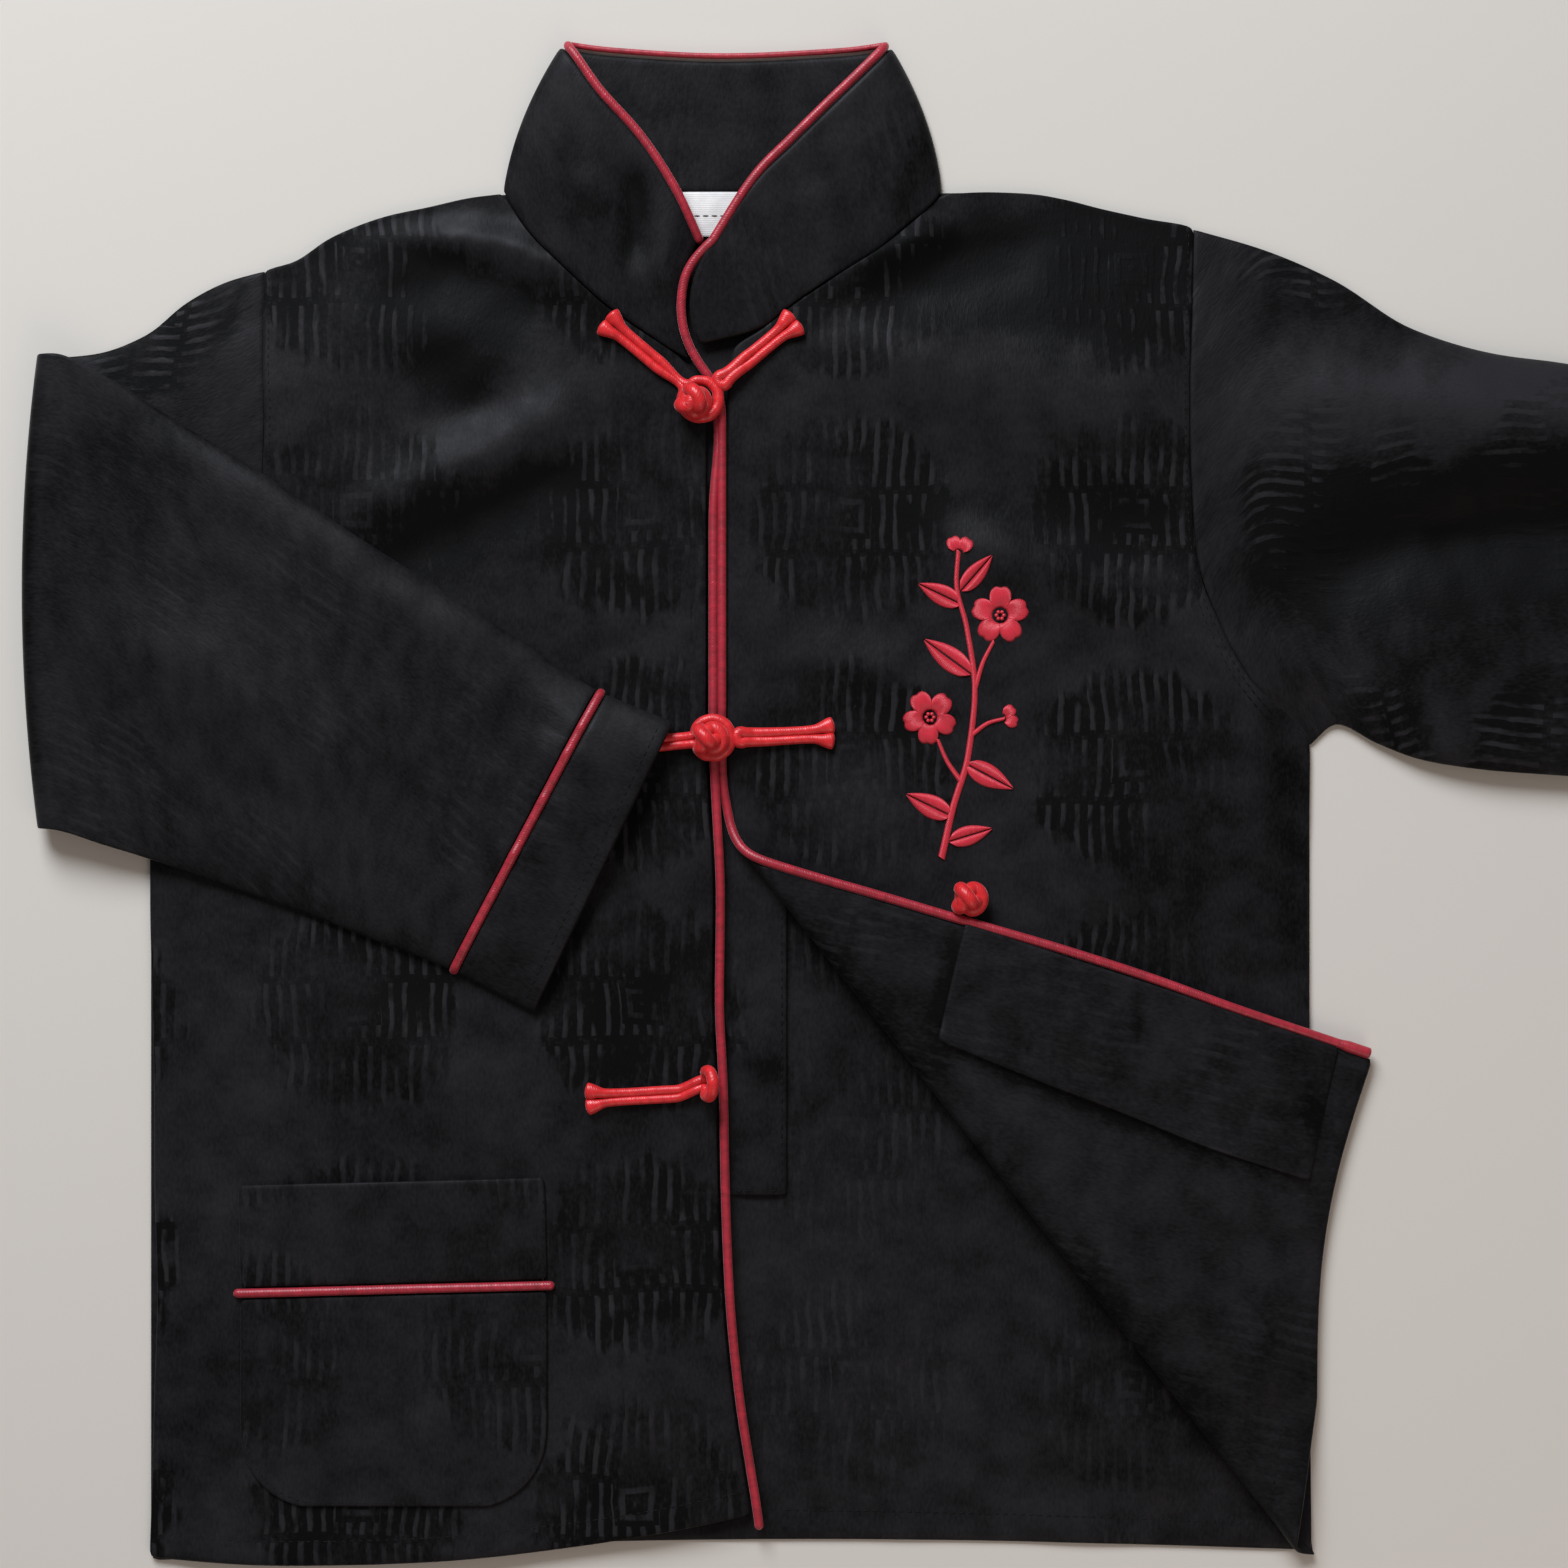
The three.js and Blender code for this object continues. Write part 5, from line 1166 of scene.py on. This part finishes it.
def sleeve_surface(key, runs, around=AROUND):
    """Places and pattern of the middle of a sleeve's cloth, the last column on the first."""
    side = SIDES[key]
    table = np.array(side["table"])
    seam = table[-1, 0] - CUFF
    at = through(table[:, 0], table[:, 1:], runs)
    ux, uy, lx, ly, curve, room = (at[:, k : k + 1] for k in range(6))
    theta = np.linspace(0, 2 * math.pi, around + 1)[None]
    t = (1 - np.cos(theta)) / 2
    low = theta <= math.pi
    armhole = np.array(side["armhole"])
    (first_x, first_y), (last_x, last_y) = armhole[0], armhole[-1]
    rows = (first_y - armhole[:, 1]) / (first_y - last_y)
    bend = through(rows, armhole[:, 0:1] - lerp(first_x, last_x, rows)[:, None], t[0])[:, 0][None]
    width = np.hypot(lx - ux, ly - uy)
    inner = lerp(t, lerp(CLOTH / 2 / width, 1 - CLOTH / 2 / width, t), 1 - curve)
    x = lerp(ux, lx, inner) + curve * bend + side["shift"]
    y = lerp(uy, ly, inner)
    run = np.asarray(runs)[:, None] + 0 * t
    bulge = np.abs(np.sin(theta)) ** lerp(0.85, 0.3, curve)
    at_front = front_z(lerp(first_x, last_x, t) + bend, lerp(first_y, last_y, t)) - BACK_Z
    across = np.where(low, t, 2 - t) * width
    small = pucker(run, across, seam, side["seed"]) + 0.0003 * ripple(across, run, 0.02, side["seed"] + 3)
    if side["folded"]:
        height = lerp(room + CLOTH, at_front, curve) * bulge
        x, z = fold_over(x, y, height, low, bulge, small, side["creases"])
    else:
        along = np.exp(-(((run - LOFT["run"]) / LOFT["half"]) ** 2))
        loft = LOFT["height"] * ease((inner - 0.55) / 0.45) * along
        waves = creases_or_painted_shade(side["creases"], x, y) + small + 0.0008 * ripple(x, y, 0.075, side["seed"])
        own = np.maximum(room + CLOTH + waves, CLOTH + 0.0006)
        height = lerp(own, at_front, curve) * bulge
        z = BACK_Z + loft * (1 - curve) + np.where(low, 0, height)
    return stacked(x, y, z), stacked(across, run)


def fold_over(x, y, height, low, bulge, small, creases):
    """Rolls the right sleeve over its fold and lays its outer part down on the front."""
    line, centre, radius = SLEEVE_FOLD["x"], SLEEVE_FOLD["centre"], SLEEVE_FOLD["radius"]
    past = line - x
    angle = np.clip(past / radius, 0, math.pi)
    turned = np.maximum(past - math.pi * radius, 0)
    z = BACK_Z + np.where(low, 0, height)
    over_x = np.where(past > 0, line - (centre - z) * np.sin(angle) + turned, x)
    bow = np.minimum(((y - SLEEVE_BOW["y"]) / SLEEVE_BOW["half"]) ** 2, 1.2) * SLEEVE_BOW["reach"]
    over_x = over_x + bow * np.exp(-(((over_x - line) / SLEEVE_BOW["fade"]) ** 2))
    aside = (y - OVER_FROG["y"]) / OVER_FROG["spread"]
    lift = OVER_FROG["lift"] * ease((over_x - OVER_FROG["start"]) / OVER_FROG["run"]) * np.exp(-(aside**2))
    under = np.maximum(front_top(np.maximum(over_x, SIDE_RIGHT + 0.012), y), SLEEVE_TOP)
    rest = under + SLEEVE_CLEAR + lift
    waves = soft_floor(creases_or_painted_shade(creases, over_x, y) + 0.0008 * ripple(over_x, y, 0.08, 57), 0.002) + small
    settled = ease(turned / SLEEVE_FOLD["settle"])
    lying = lerp(2 * centre - BACK_Z - height, rest, settled)
    lying = lying + np.where(low, height + waves * bulge * ease(turned / 0.02), 0)
    rolled = centre - (centre - z) * np.cos(angle)
    return over_x, np.where(turned > 0, lying, rolled)


def piping(node, path, radius=PIPING / 2, **shape):
    stand_in(joined(f"look_{node}", [tube_part(path, radius, **shape)], PIPING_SATIN), node, "piping")


def sleeve(key):
    """A sleeve, its cuff, and the piping in the seam between them, which stays above the floor."""
    side = SIDES[key]
    keys = [row[0] for row in side["table"]]
    seam = keys[-1] - CUFF
    runs = stops([run for run in keys if run < seam - 0.008] + [seam - EDGE_STEP], GRID)
    if side["folded"]:
        start, end = FOLD_RUNS
        runs = np.unique(np.concatenate([runs, np.linspace(start, end, 11)]))
    held = ("folded", ["look_front_right"]) if side["folded"] else ("laid", ["floor"])
    shades, cloth = PAINTED_SHADES[f"sleeve_{key}"], CLOTHS[f"sleeve_{key}"]
    panel(f"sleeve_{key}", *sleeve_surface(key, runs), cloth, *held, shades=shades)
    runs = np.linspace(seam + EDGE_STEP, keys[-1], 9)
    panel(f"cuff_{key}", *sleeve_surface(key, runs), CLOTHS["plain"], *held, thickness=CUFF_CLOTH,
          shades=shades)
    ring, _ = sleeve_surface(key, np.array([seam]), AROUND_PIPING)
    height = ring[..., 2]
    lowest = PIPING / 2 + 0.0001 + 0.3 * (height - height.min())
    ring[..., 2] = np.maximum(height, lowest)
    piping(f"cuff_piping_{key}", ring[0, :-1], closed=True)


# Collar: a standing band pressed flat, its back under its two front ends
COLLAR_TABLE = np.array(COLLAR)
COLLAR_KEYS = lengths((COLLAR_TABLE[:, 0:2] + COLLAR_TABLE[:, 2:4]) / 2)
COLLAR_HIGH = np.hypot(*(COLLAR_TABLE[:, 2:4] - COLLAR_TABLE[:, 0:2]).T)[:, None]


def collar_surface(at, up):
    """Places and pattern of the collar's cloth at each place along it, up to shares of its height."""
    table = through(COLLAR_KEYS, COLLAR_TABLE, at)
    bx, by, tx, ty, bz, tz, bow = (table[:, k : k + 1] for k in range(7))
    x = lerp(bx, tx, up) + bow * 4 * up * (1 - up)
    y = lerp(by, ty, up)
    front = ease((bz - 0.0015) / 0.0025)
    stand = COLLAR_STAND["foot"] + COLLAR_STAND["top"] * up**1.3
    stand = stand + COLLAR_STAND["belly"] * np.sin(math.pi * up)
    creases = creases_or_painted_shade(COLLAR_CREASES, x, y) + 0.0003 * ripple(x, y, 0.022, 61)
    z = lerp(bz, tz, up) + front * (stand + creases)
    return stacked(x, y, z), stacked(at[:, None], up * np.hypot(tx - bx, ty - by))


def collar():
    """The collar and its piping, whose last point is given back."""
    at = stops(COLLAR_KEYS, 0.0032)
    height = through(COLLAR_KEYS, COLLAR_HIGH, at)
    low, high = 0.0004 / height, 1 - (PIPING + 0.0002) / height
    surface = collar_surface(at, lerp(low, high, np.linspace(0, 1, 16)[None]))
    panel("collar", *surface, CLOTHS["collar"], "folded", ["back", "look_front_right", "look_front_left"],
          thickness=CUFF_CLOTH, shades=PAINTED_SHADES["collar"])
    line = np.linspace(0, COLLAR_KEYS[-1], 280)
    path, _ = collar_surface(line, 1 - PIPING / 2 / through(COLLAR_KEYS, COLLAR_HIGH, line))
    path = path[:, 0]
    behind = 1 - ease((path[:, 2] - COLLAR_BEHIND["low"]) / COLLAR_BEHIND["run"])
    radius = lerp(PIPING / 2, COLLAR_BEHIND["radius"], behind)
    path[:, 2] = np.maximum(path[:, 2], radius + GAP)
    path = softened(path, 6)
    piping("collar_piping", path, radius)
    return path[-1]


# Piping of the fronts and the pocket
PIPING_STEP = 0.0016      # from one point of a front's piping to the next


def front_pipings(collar_end):
    """The left front's piping goes on from the end of the collar's."""
    edge = [(x + EDGE_STEP, y) for _, _, x, y in ROWS_RIGHT[1:]]
    edge[0] = (edge[0][0], UNDER_KNOT_Y)
    path = on_surface(smooth_line([*edge, RIGHT_PIPING_END], PIPING_STEP), front_z, 0.0004)
    under = ease((path[:, 1] - UNDER_KNOT_Y + 0.04) / 0.035)
    path[:, 0] += PIPINGS_TOUCH + (PIPING * 0.8 - PIPINGS_TOUCH) * under
    path[:, 2] -= 0.0009 * under
    piping("piping_right_front", softened(path, 5))
    drop = np.linspace(COLLAR_PIPING_TOP, BODY_Z + 0.0006, len(COLLAR_END))
    closed = np.column_stack([COLLAR_END, drop])
    closed[0] = collar_end
    rows = np.array([(x - EDGE_STEP, y) for _, _, x, y in ROWS_LEFT[2:]])
    rows[-1, 1] += LEFT_PIPING_SHORT
    rows[-2:, 0] += PIPING_TUCK["in"]
    flat = smooth_line(rows, PIPING_STEP)
    upper = smooth_line(np.vstack([closed, left_front(*flat[0])[None]]), PIPING_STEP)
    lower = left_front(flat[:, 0], flat[:, 1]) + (0, 0, 0.0003)
    path = softened(np.vstack([upper[:-1], lower]), 5)
    to_end = lengths(path)[-1] - lengths(path)
    tucked = 1 - ease((to_end - PIPING_TUCK["run"]) / PIPING_TUCK["fade"])
    piping("piping_left_front", path, PIPING / 2 * (1 + PIPING_TUCK["wide"] * tucked), blunt=0.4)
    t, longer = np.linspace(0, 1, 80), 0.001
    x = lerp(POCKET["left"] - longer, POCKET["right"] + longer, t)
    line = stacked(x, POCKET["top"] + POCKET["rise"] * t)
    piping("pocket_piping", on_surface(line, front_top, CLOTH / 2 + 0.0008))


# Frogs: a doubled cord with flared ends on each side, and a button knot
def doubled_plan(end, centre, loop):
    """Plan of a doubled cord from its flared end round a loop and back."""
    (dx, dy), apart = (centre[0] - end[0], centre[1] - end[1]), CORD / 2 - 0.0001
    length = math.hypot(dx, dy)
    near = math.sqrt(max(loop**2 - apart**2, 0.0))
    leg = [(u, apart + v) for u, v in FLARE]
    leg.append(((length + FLARE[-1][0] - near) / 2, apart))
    start = math.pi - math.atan2(apart, near)
    arc = [(length + loop * math.cos(turn), loop * math.sin(turn)) for turn in np.linspace(start, -start, 13)]
    local = np.array([*leg, *arc, *[(u, -v) for u, v in leg[::-1]]])
    x = end[0] + (dx * local[:, 0] - dy * local[:, 1]) / length
    y = end[1] + (dy * local[:, 0] + dx * local[:, 1]) / length
    return smooth_line(stacked(x, y), CORD_STEP)


def frog_z(x, y):
    """Height of a frog's cord on the fronts, raised where it crosses the two lines of piping."""
    crossing = ease((CROSSING["half"] - np.abs(x - CROSSING["x"])) / CROSSING["run"])
    return front_top(x, y) + CORD / 2 + CROSSING["rise"] * crossing


def flared(path):
    """Radius of a frog's cord, which widens to both of its cut ends and is fuller round its loop."""
    keys = lengths(path)
    from_end = np.minimum(keys, keys[-1] - keys)
    from_loop = np.abs(keys - keys[-1] / 2)
    wide = FLARED["wide"] * np.exp(-((from_end / FLARED["run"]) ** 2))
    return CORD / 2 * (1 + wide + FLARED["loop"] * np.exp(-((from_loop / FLARED["loop_run"]) ** 2)))


def cord_piece(name, path, node):
    radius = flared(path)
    flat = np.minimum(1.0, CORD / 2 * 1.3 / radius)
    parts = [tube_part(path, radius, 14, flat=flat, blunt=0.35)]
    stand_in(joined(name, parts, CORD_SATIN), node, "frog_cord")


def ball_part(centre, radius, rows=10, sides=16):
    """A plain round core."""
    tilt = np.linspace(-math.pi / 2, math.pi / 2, rows)[:, None]
    turn = np.arange(sides)[None] * 2 * math.pi / sides
    points = stacked(np.cos(tilt) * np.cos(turn), np.cos(tilt) * np.sin(turn), np.sin(tilt))
    points = (np.asarray(centre) + points * radius).reshape(-1, 3)
    index = np.arange(rows * sides).reshape(rows, sides)
    return points, ring_faces(index[1:], index[:-1]), points[:, :2]


def knot_piece(name, centre, turn, node):
    """A button knot: one closed cord, woven over and under itself round a ball."""
    t = np.linspace(0, 2 * math.pi, 320, endpoint=False)
    tilt = KNOT["reach"] * np.cos(KNOT["bights"] * t)
    spin = KNOT["leads"] * t + turn
    away = KNOT["ball"] + KNOT["weave"] * np.sin(KNOT["bights"] * t)
    x, y, z = np.cos(tilt) * np.cos(spin), np.cos(tilt) * np.sin(spin), np.sin(tilt)
    lean = math.radians(KNOT["lean"])
    leaning = stacked(x, y * math.cos(lean) - z * math.sin(lean), y * math.sin(lean) + z * math.cos(lean))
    path = np.asarray(centre) + leaning * away[:, None]
    parts = [tube_part(path, KNOT["cord"], 12, closed=True), ball_part(centre, KNOT["ball"] * 0.86)]
    stand_in(joined(name, parts, CORD_SATIN), node, "frog_cord")


def frogs():
    for frog in FROGS:
        name, knot = frog["name"], np.array(frog["knot"])
        plan = doubled_plan(frog["loop_end"], knot, FROG_LOOP)
        cord_piece(f"look_{name}_loop", on_surface(plan, frog_z, 0.0), f"{name}_loop")
        away = np.array(frog["tail_end"]) - knot
        turn = knot + unit(away) * (FROG_LOOP + CORD + 0.0006)
        plan = doubled_plan(frog["tail_end"], turn, CORD / 2 + GAP)
        plan[:, 1] += frog["bend"] * ease(np.hypot(*(plan - knot).T) / np.linalg.norm(away) - 0.35)
        cord_piece(f"look_{name}_tail", on_surface(plan, frog_z, 0.0), f"{name}_tail")
        x, y = knot + frog["ball"]
        z = float(front_top(np.array(x), np.array(y))) + KNOT["above"]
        knot_piece(f"look_{name}_knot", (x, y, z), frog["turn"], f"{name}_knot")


def third_frog():
    """The undone frog: an empty loop that stands up at the right front's edge, and a knot on the flap's."""
    plan = doubled_plan(EMPTY_LOOP["end"], EMPTY_LOOP["centre"], EMPTY_LOOP["radius"])
    path = on_surface(plan, frog_z, 0.0)
    past = np.maximum(path[:, 0] - EMPTY_LOOP["stand_from"], 0)
    lean = EMPTY_LOOP["lean"] * ease(past / 0.004)
    path[:, 0] -= past * (1 - np.cos(lean))
    path[:, 1] += EMPTY_LOOP["rise"] * ease((path[:, 0] - EMPTY_LOOP["rise_from"]) / 0.012)
    path[:, 2] += past * np.sin(lean)
    cord_piece("look_frog_3_loop", path, "frog_3_loop")
    plan = doubled_plan(TURNED_FROG["end"], TURNED_FROG["turn"], CORD / 2 + GAP)
    path = left_front(plan[:, 0], plan[:, 1])
    path[:, 2] -= CLOTH / 2 + CORD / 2
    cord_piece("look_frog_3_tail", path, "frog_3_tail")
    low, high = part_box("frog_3_knot")
    x, y = (np.array(low[:2]) + np.array(high[:2])) / 2 - ORIGIN[:2] + TURNED_FROG["against"]
    z = float(front_top(np.array(x), np.array(y))) + KNOT["ball"] + KNOT["cord"]
    knot_piece("look_frog_3_knot", (x, y, z), 0.9, "frog_3_knot")


# Embroidery: a flowering sprig in satin stitch
def leaf_threads(base, tip, half):
    """Slanting threads on both sides of a leaf's middle vein."""
    base, tip = np.array(base), np.array(tip)
    along = tip - base
    length = np.linalg.norm(along)
    ahead = along / length
    side = np.array((-ahead[1], ahead[0]))
    share = np.arange(0.02, 0.98, THREAD_STEP / length)
    outer = np.minimum(share + 0.16 * (1 - share), 1.0)
    wide = half * np.sin(math.pi * outer**0.8) ** 0.9 + 0.0002
    starts, ends = [], []
    for way in (1, -1):
        vein = base + share[:, None] * along + side * way * 0.00018
        starts.append(vein)
        ends.append(base + outer[:, None] * along + side * way * wide[:, None])
    return np.vstack(starts), np.vstack(ends)


def petal_threads(centre, angle, reach):
    """A fan of threads from a blossom's middle to a petal's rounded edge."""
    centre = np.array(centre)
    fan = np.linspace(-1, 1, int(reach * 1.25 / THREAD_STEP))
    turn = angle + fan * math.radians(33)
    far = reach * (1 - 0.34 * np.abs(fan) ** 2.6) * (1 - 0.06 * np.exp(-((fan / 0.2) ** 2)))
    way = np.column_stack([np.cos(turn), np.sin(turn)])
    near = reach * (0.26 + 0.05 * (np.arange(len(fan)) % 2))
    return centre + way * near[:, None], centre + way * far[:, None]


def plan_vectors(points):
    """Unit vectors along a plan line, and to its left."""
    ahead = unit(np.gradient(points, axis=0))
    return ahead, stacked(-ahead[:, 1], ahead[:, 0])


def stem_threads(line, half):
    """Short slanting threads across a stem that narrows towards its end."""
    points = smooth_line(line, THREAD_STEP)
    ahead, side = plan_vectors(points)
    wide = half * np.linspace(1.0, 0.62, len(points))[:, None]
    slant = ahead * 0.0006
    return points - side * wide - slant, points + side * wide + slant


def embroidery():
    threads = [stem_threads(line, half) for half, line in SPRIG["stems"]]
    threads += [leaf_threads(base, tip, half) for half, base, tip in SPRIG["leaves"]]
    parts = []
    for (x, y), reach, turn in SPRIG["blossoms"]:
        threads += [petal_threads((x, y), turn + petal * 2 * math.pi / 5, reach) for petal in range(5)]
        for angle in np.linspace(0, 2 * math.pi, 6, endpoint=False):
            place = np.array([x + SEED_RING * math.cos(angle), y + SEED_RING * math.sin(angle)])
            z = float(front_top(*place)) + 0.0006
            parts.append(ball_part((*place, z), SEED, 6, 8))
    for (x, y), reach, turn in SPRIG["buds"]:
        threads += [petal_threads((x, y), turn + lean, reach) for lean in (-0.5, 0.5)]
    starts, ends = (np.vstack(points) for points in zip(*threads))
    starts, ends = on_surface(starts, front_top, 0.0003), on_surface(ends, front_top, 0.0003)
    parts.append(strand_part(starts, ends, THREAD / 2, 0.00035))
    piece = joined("look_embroidered_sprig", parts, EMBROIDERY)
    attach(piece, "root")


# Sewing thread, one short strand for each stitch
def stitched(paths):
    starts, ends = [], []
    for path in paths:
        keys = lengths(path)
        first = np.arange(STITCH_STEP / 2, keys[-1] - STITCH, STITCH_STEP)
        for places, found in ((first, starts), (first + STITCH, ends)):
            found.append(np.column_stack([np.interp(places, keys, path[:, k]) for k in range(3)]))
    return strand_part(np.vstack(starts), np.vstack(ends), STITCH_THREAD / 2, 0.00012)


def offset_plan(line, distance):
    """A plan line moved sideways, to its left for a distance above zero."""
    points = smooth_line(line, SEWING_STEP)
    return points + plan_vectors(points)[1] * distance


def pocket_outline(inset):
    """The patch pocket's sewn edge, a little inside it, from its band down round to the other side."""
    left, right = POCKET["left"] + inset, POCKET["right"] - inset
    low, corner = POCKET["bottom"] + inset, POCKET["corner"]
    top = POCKET["band_top"] - 0.003
    turn = np.linspace(0, math.pi / 2, 8)
    first = np.column_stack([left + corner * (1 - np.cos(turn)), low + corner * (1 - np.sin(turn))])
    second = np.column_stack([right - corner * (1 - np.sin(turn)), low + corner * (1 - np.cos(turn))])
    return np.vstack([[(left, top)], first, second, [(right, top)]])


def stitches():
    """Every sewn line that shows: hems, pocket, placket, armholes, flap, facing, cuffs and label."""
    t = np.linspace(0.01, 0.99, 160)
    sunk = 0.0001
    side_x, side_y, edge_x, edge_y = ROWS_RIGHT[-1]
    hem_y = lerp(side_y, edge_y, t) + HEM_SAG * 4 * t * (1 - t) + HEM
    paths = [on_surface(stacked(lerp(side_x, edge_x, t), hem_y), front_top, 0.0001)]
    hem_y = BACK_HEM_Y["left"] + BACK_HEM_RISE * np.sin(math.pi * lerp(0.54, 1, t)) + HEM
    back_hem = stacked(lerp(0.02, SIDE_LEFT - 0.002, t), hem_y)
    paths.append(on_surface(back_hem, back_z, CLOTH / 2 + 0.0001))
    patch_top = CLOTH * 1.5 + GAP - sunk
    paths.append(on_surface(smooth_line(pocket_outline(0.0018), SEWING_STEP), front_z, patch_top))
    band_y = POCKET["band_top"] - 0.006 + POCKET["rise"] * t
    band = stacked(lerp(POCKET["left"] + 0.002, POCKET["right"] - 0.002, t), band_y)
    lifted = on_surface(band, front_z, patch_top)
    lifted[:, 2] += 0.0013 * np.sin(math.pi * t) ** 0.6
    paths.append(lifted)
    inset = 0.002
    right, bottom = PLACKET["right"] - inset, PLACKET["bottom"] + inset
    strip = [(right, 0.3), (right, bottom), (-0.003, bottom)]
    for a, b in zip(strip[:-1], strip[1:]):
        paths.append(stacked(lerp(a[0], b[0], t), lerp(a[1], b[1], t), PLACKET_Z + CLOTH / 2 + 0.0006))
    lower = [place for place in ARMHOLE_LEFT if place[1] < 0.4]
    for gap, sewn in zip(SEWING_ROWS, (ARMHOLE_LEFT, lower)):
        paths.append(on_surface(offset_plan(sewn, -gap), front_top, -sunk))
    paths.append(on_surface(offset_plan(ARMHOLE_RIGHT[:6], 0.0022), front_top, -sunk))
    turned = left_front(lerp(0.036, 0.206, t), lerp(0.0175, 0.0025, t) + 0.0125)
    paths.append(turned[turned[:, 2] > FLAP["under"] + FLAP["radius"]] + (0, 0, CLOTH / 2))
    table = np.array(FACING)
    inner = left_front(table[:, 1] - 0.003, table[:, 2])
    paths.append(smooth_line(inner, SEWING_STEP) + (0, 0, CLOTH * 1.5 + GAP + 0.0001))
    for key, visible in (("right", slice(8, 84)), ("left", slice(96, 176))):
        end = SIDES[key]["table"][-1][0]
        ring, _ = sleeve_surface(key, np.array([end - 0.0045]), 184)
        paths.append(ring[0, visible] + (0, 0, CUFF_CLOTH / 2))
    label_z = LABEL_Z + 0.0003 + LABEL_BULGE * np.sin(math.pi * t)
    paths.append(stacked(lerp(LABEL["left"], LABEL["right"], t), LABEL["bottom"] + 0.008, label_z))
    piece = joined("look_stitches", [stitched(paths)], SEWING)
    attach(piece, "root")


# Surroundings
def floor():
    graph = Graph("pale_floor", Specular_IOR_Level=0.25)
    place = graph.tree.nodes.new("ShaderNodeTexCoord")
    graph.place = place.outputs["Object"]
    broad = graph.noise(0.9, 2.0)
    graph.colour(broad, [(0.3, FLOOR_COLOUR), (0.7, tuple(c * 1.04 for c in FLOOR_COLOUR))])
    graph.rough(graph.spread(broad, 0.6, 0.7))
    mesh = bpy.data.meshes.new("floor")
    corners = [(x * FLOOR_HALF, y * FLOOR_HALF, FLOOR_Z) for x, y in ((-1, -1), (1, -1), (1, 1), (-1, 1))]
    mesh.from_pydata(corners, [], [(0, 1, 2, 3)])
    mesh.materials.append(graph.material)
    plane = bpy.data.objects.new("floor", mesh)
    bpy.context.collection.objects.link(plane)


def area_light(name, place, aim, size, power, colour):
    data = bpy.data.lights.new(name, "AREA")
    data.shape = "DISK"
    data.size, data.energy, data.color = size, power, colour
    light = bpy.data.objects.new(name, data)
    light.location = place
    way = mathutils.Vector(aim) - mathutils.Vector(place)
    light.rotation_euler = way.to_track_quat("-Z", "Y").to_euler()
    bpy.context.collection.objects.link(light)


def surroundings():
    floor()
    for name, place, aim, size, power, colour in LIGHTS:
        area_light(name, place, aim, size, power, colour)
    world = bpy.data.worlds.new("studio")
    world.use_nodes = True
    background = world.node_tree.nodes["Background"]
    background.inputs["Color"].default_value = (*WORLD_COLOUR, 1.0)
    background.inputs["Strength"].default_value = WORLD_STRENGTH
    bpy.context.scene.world = world
    bpy.context.scene.view_settings.view_transform = "Standard"


def camera():
    """Straight down over the middle of the photograph, which is as wide as its named width at the cloth."""
    data = bpy.data.cameras.new("camera")
    data.sensor_fit = "HORIZONTAL"
    data.angle = 2 * math.atan(PHOTO["width"] / 2 / (PHOTO["above"] - BODY_Z))
    eye = bpy.data.objects.new("camera", data)
    eye.location = (PHOTO["x"] + ORIGIN[0], PHOTO["y"] + ORIGIN[1], PHOTO["above"])
    bpy.context.collection.objects.link(eye)
    bpy.context.scene.camera = eye


camera()
surroundings()
back()
front_right()
front_left()
facing()
placket()
pocket()
label()
for which in SIDES:
    sleeve(which)
front_pipings(collar())
frogs()
third_frog()
embroidery()
stitches()
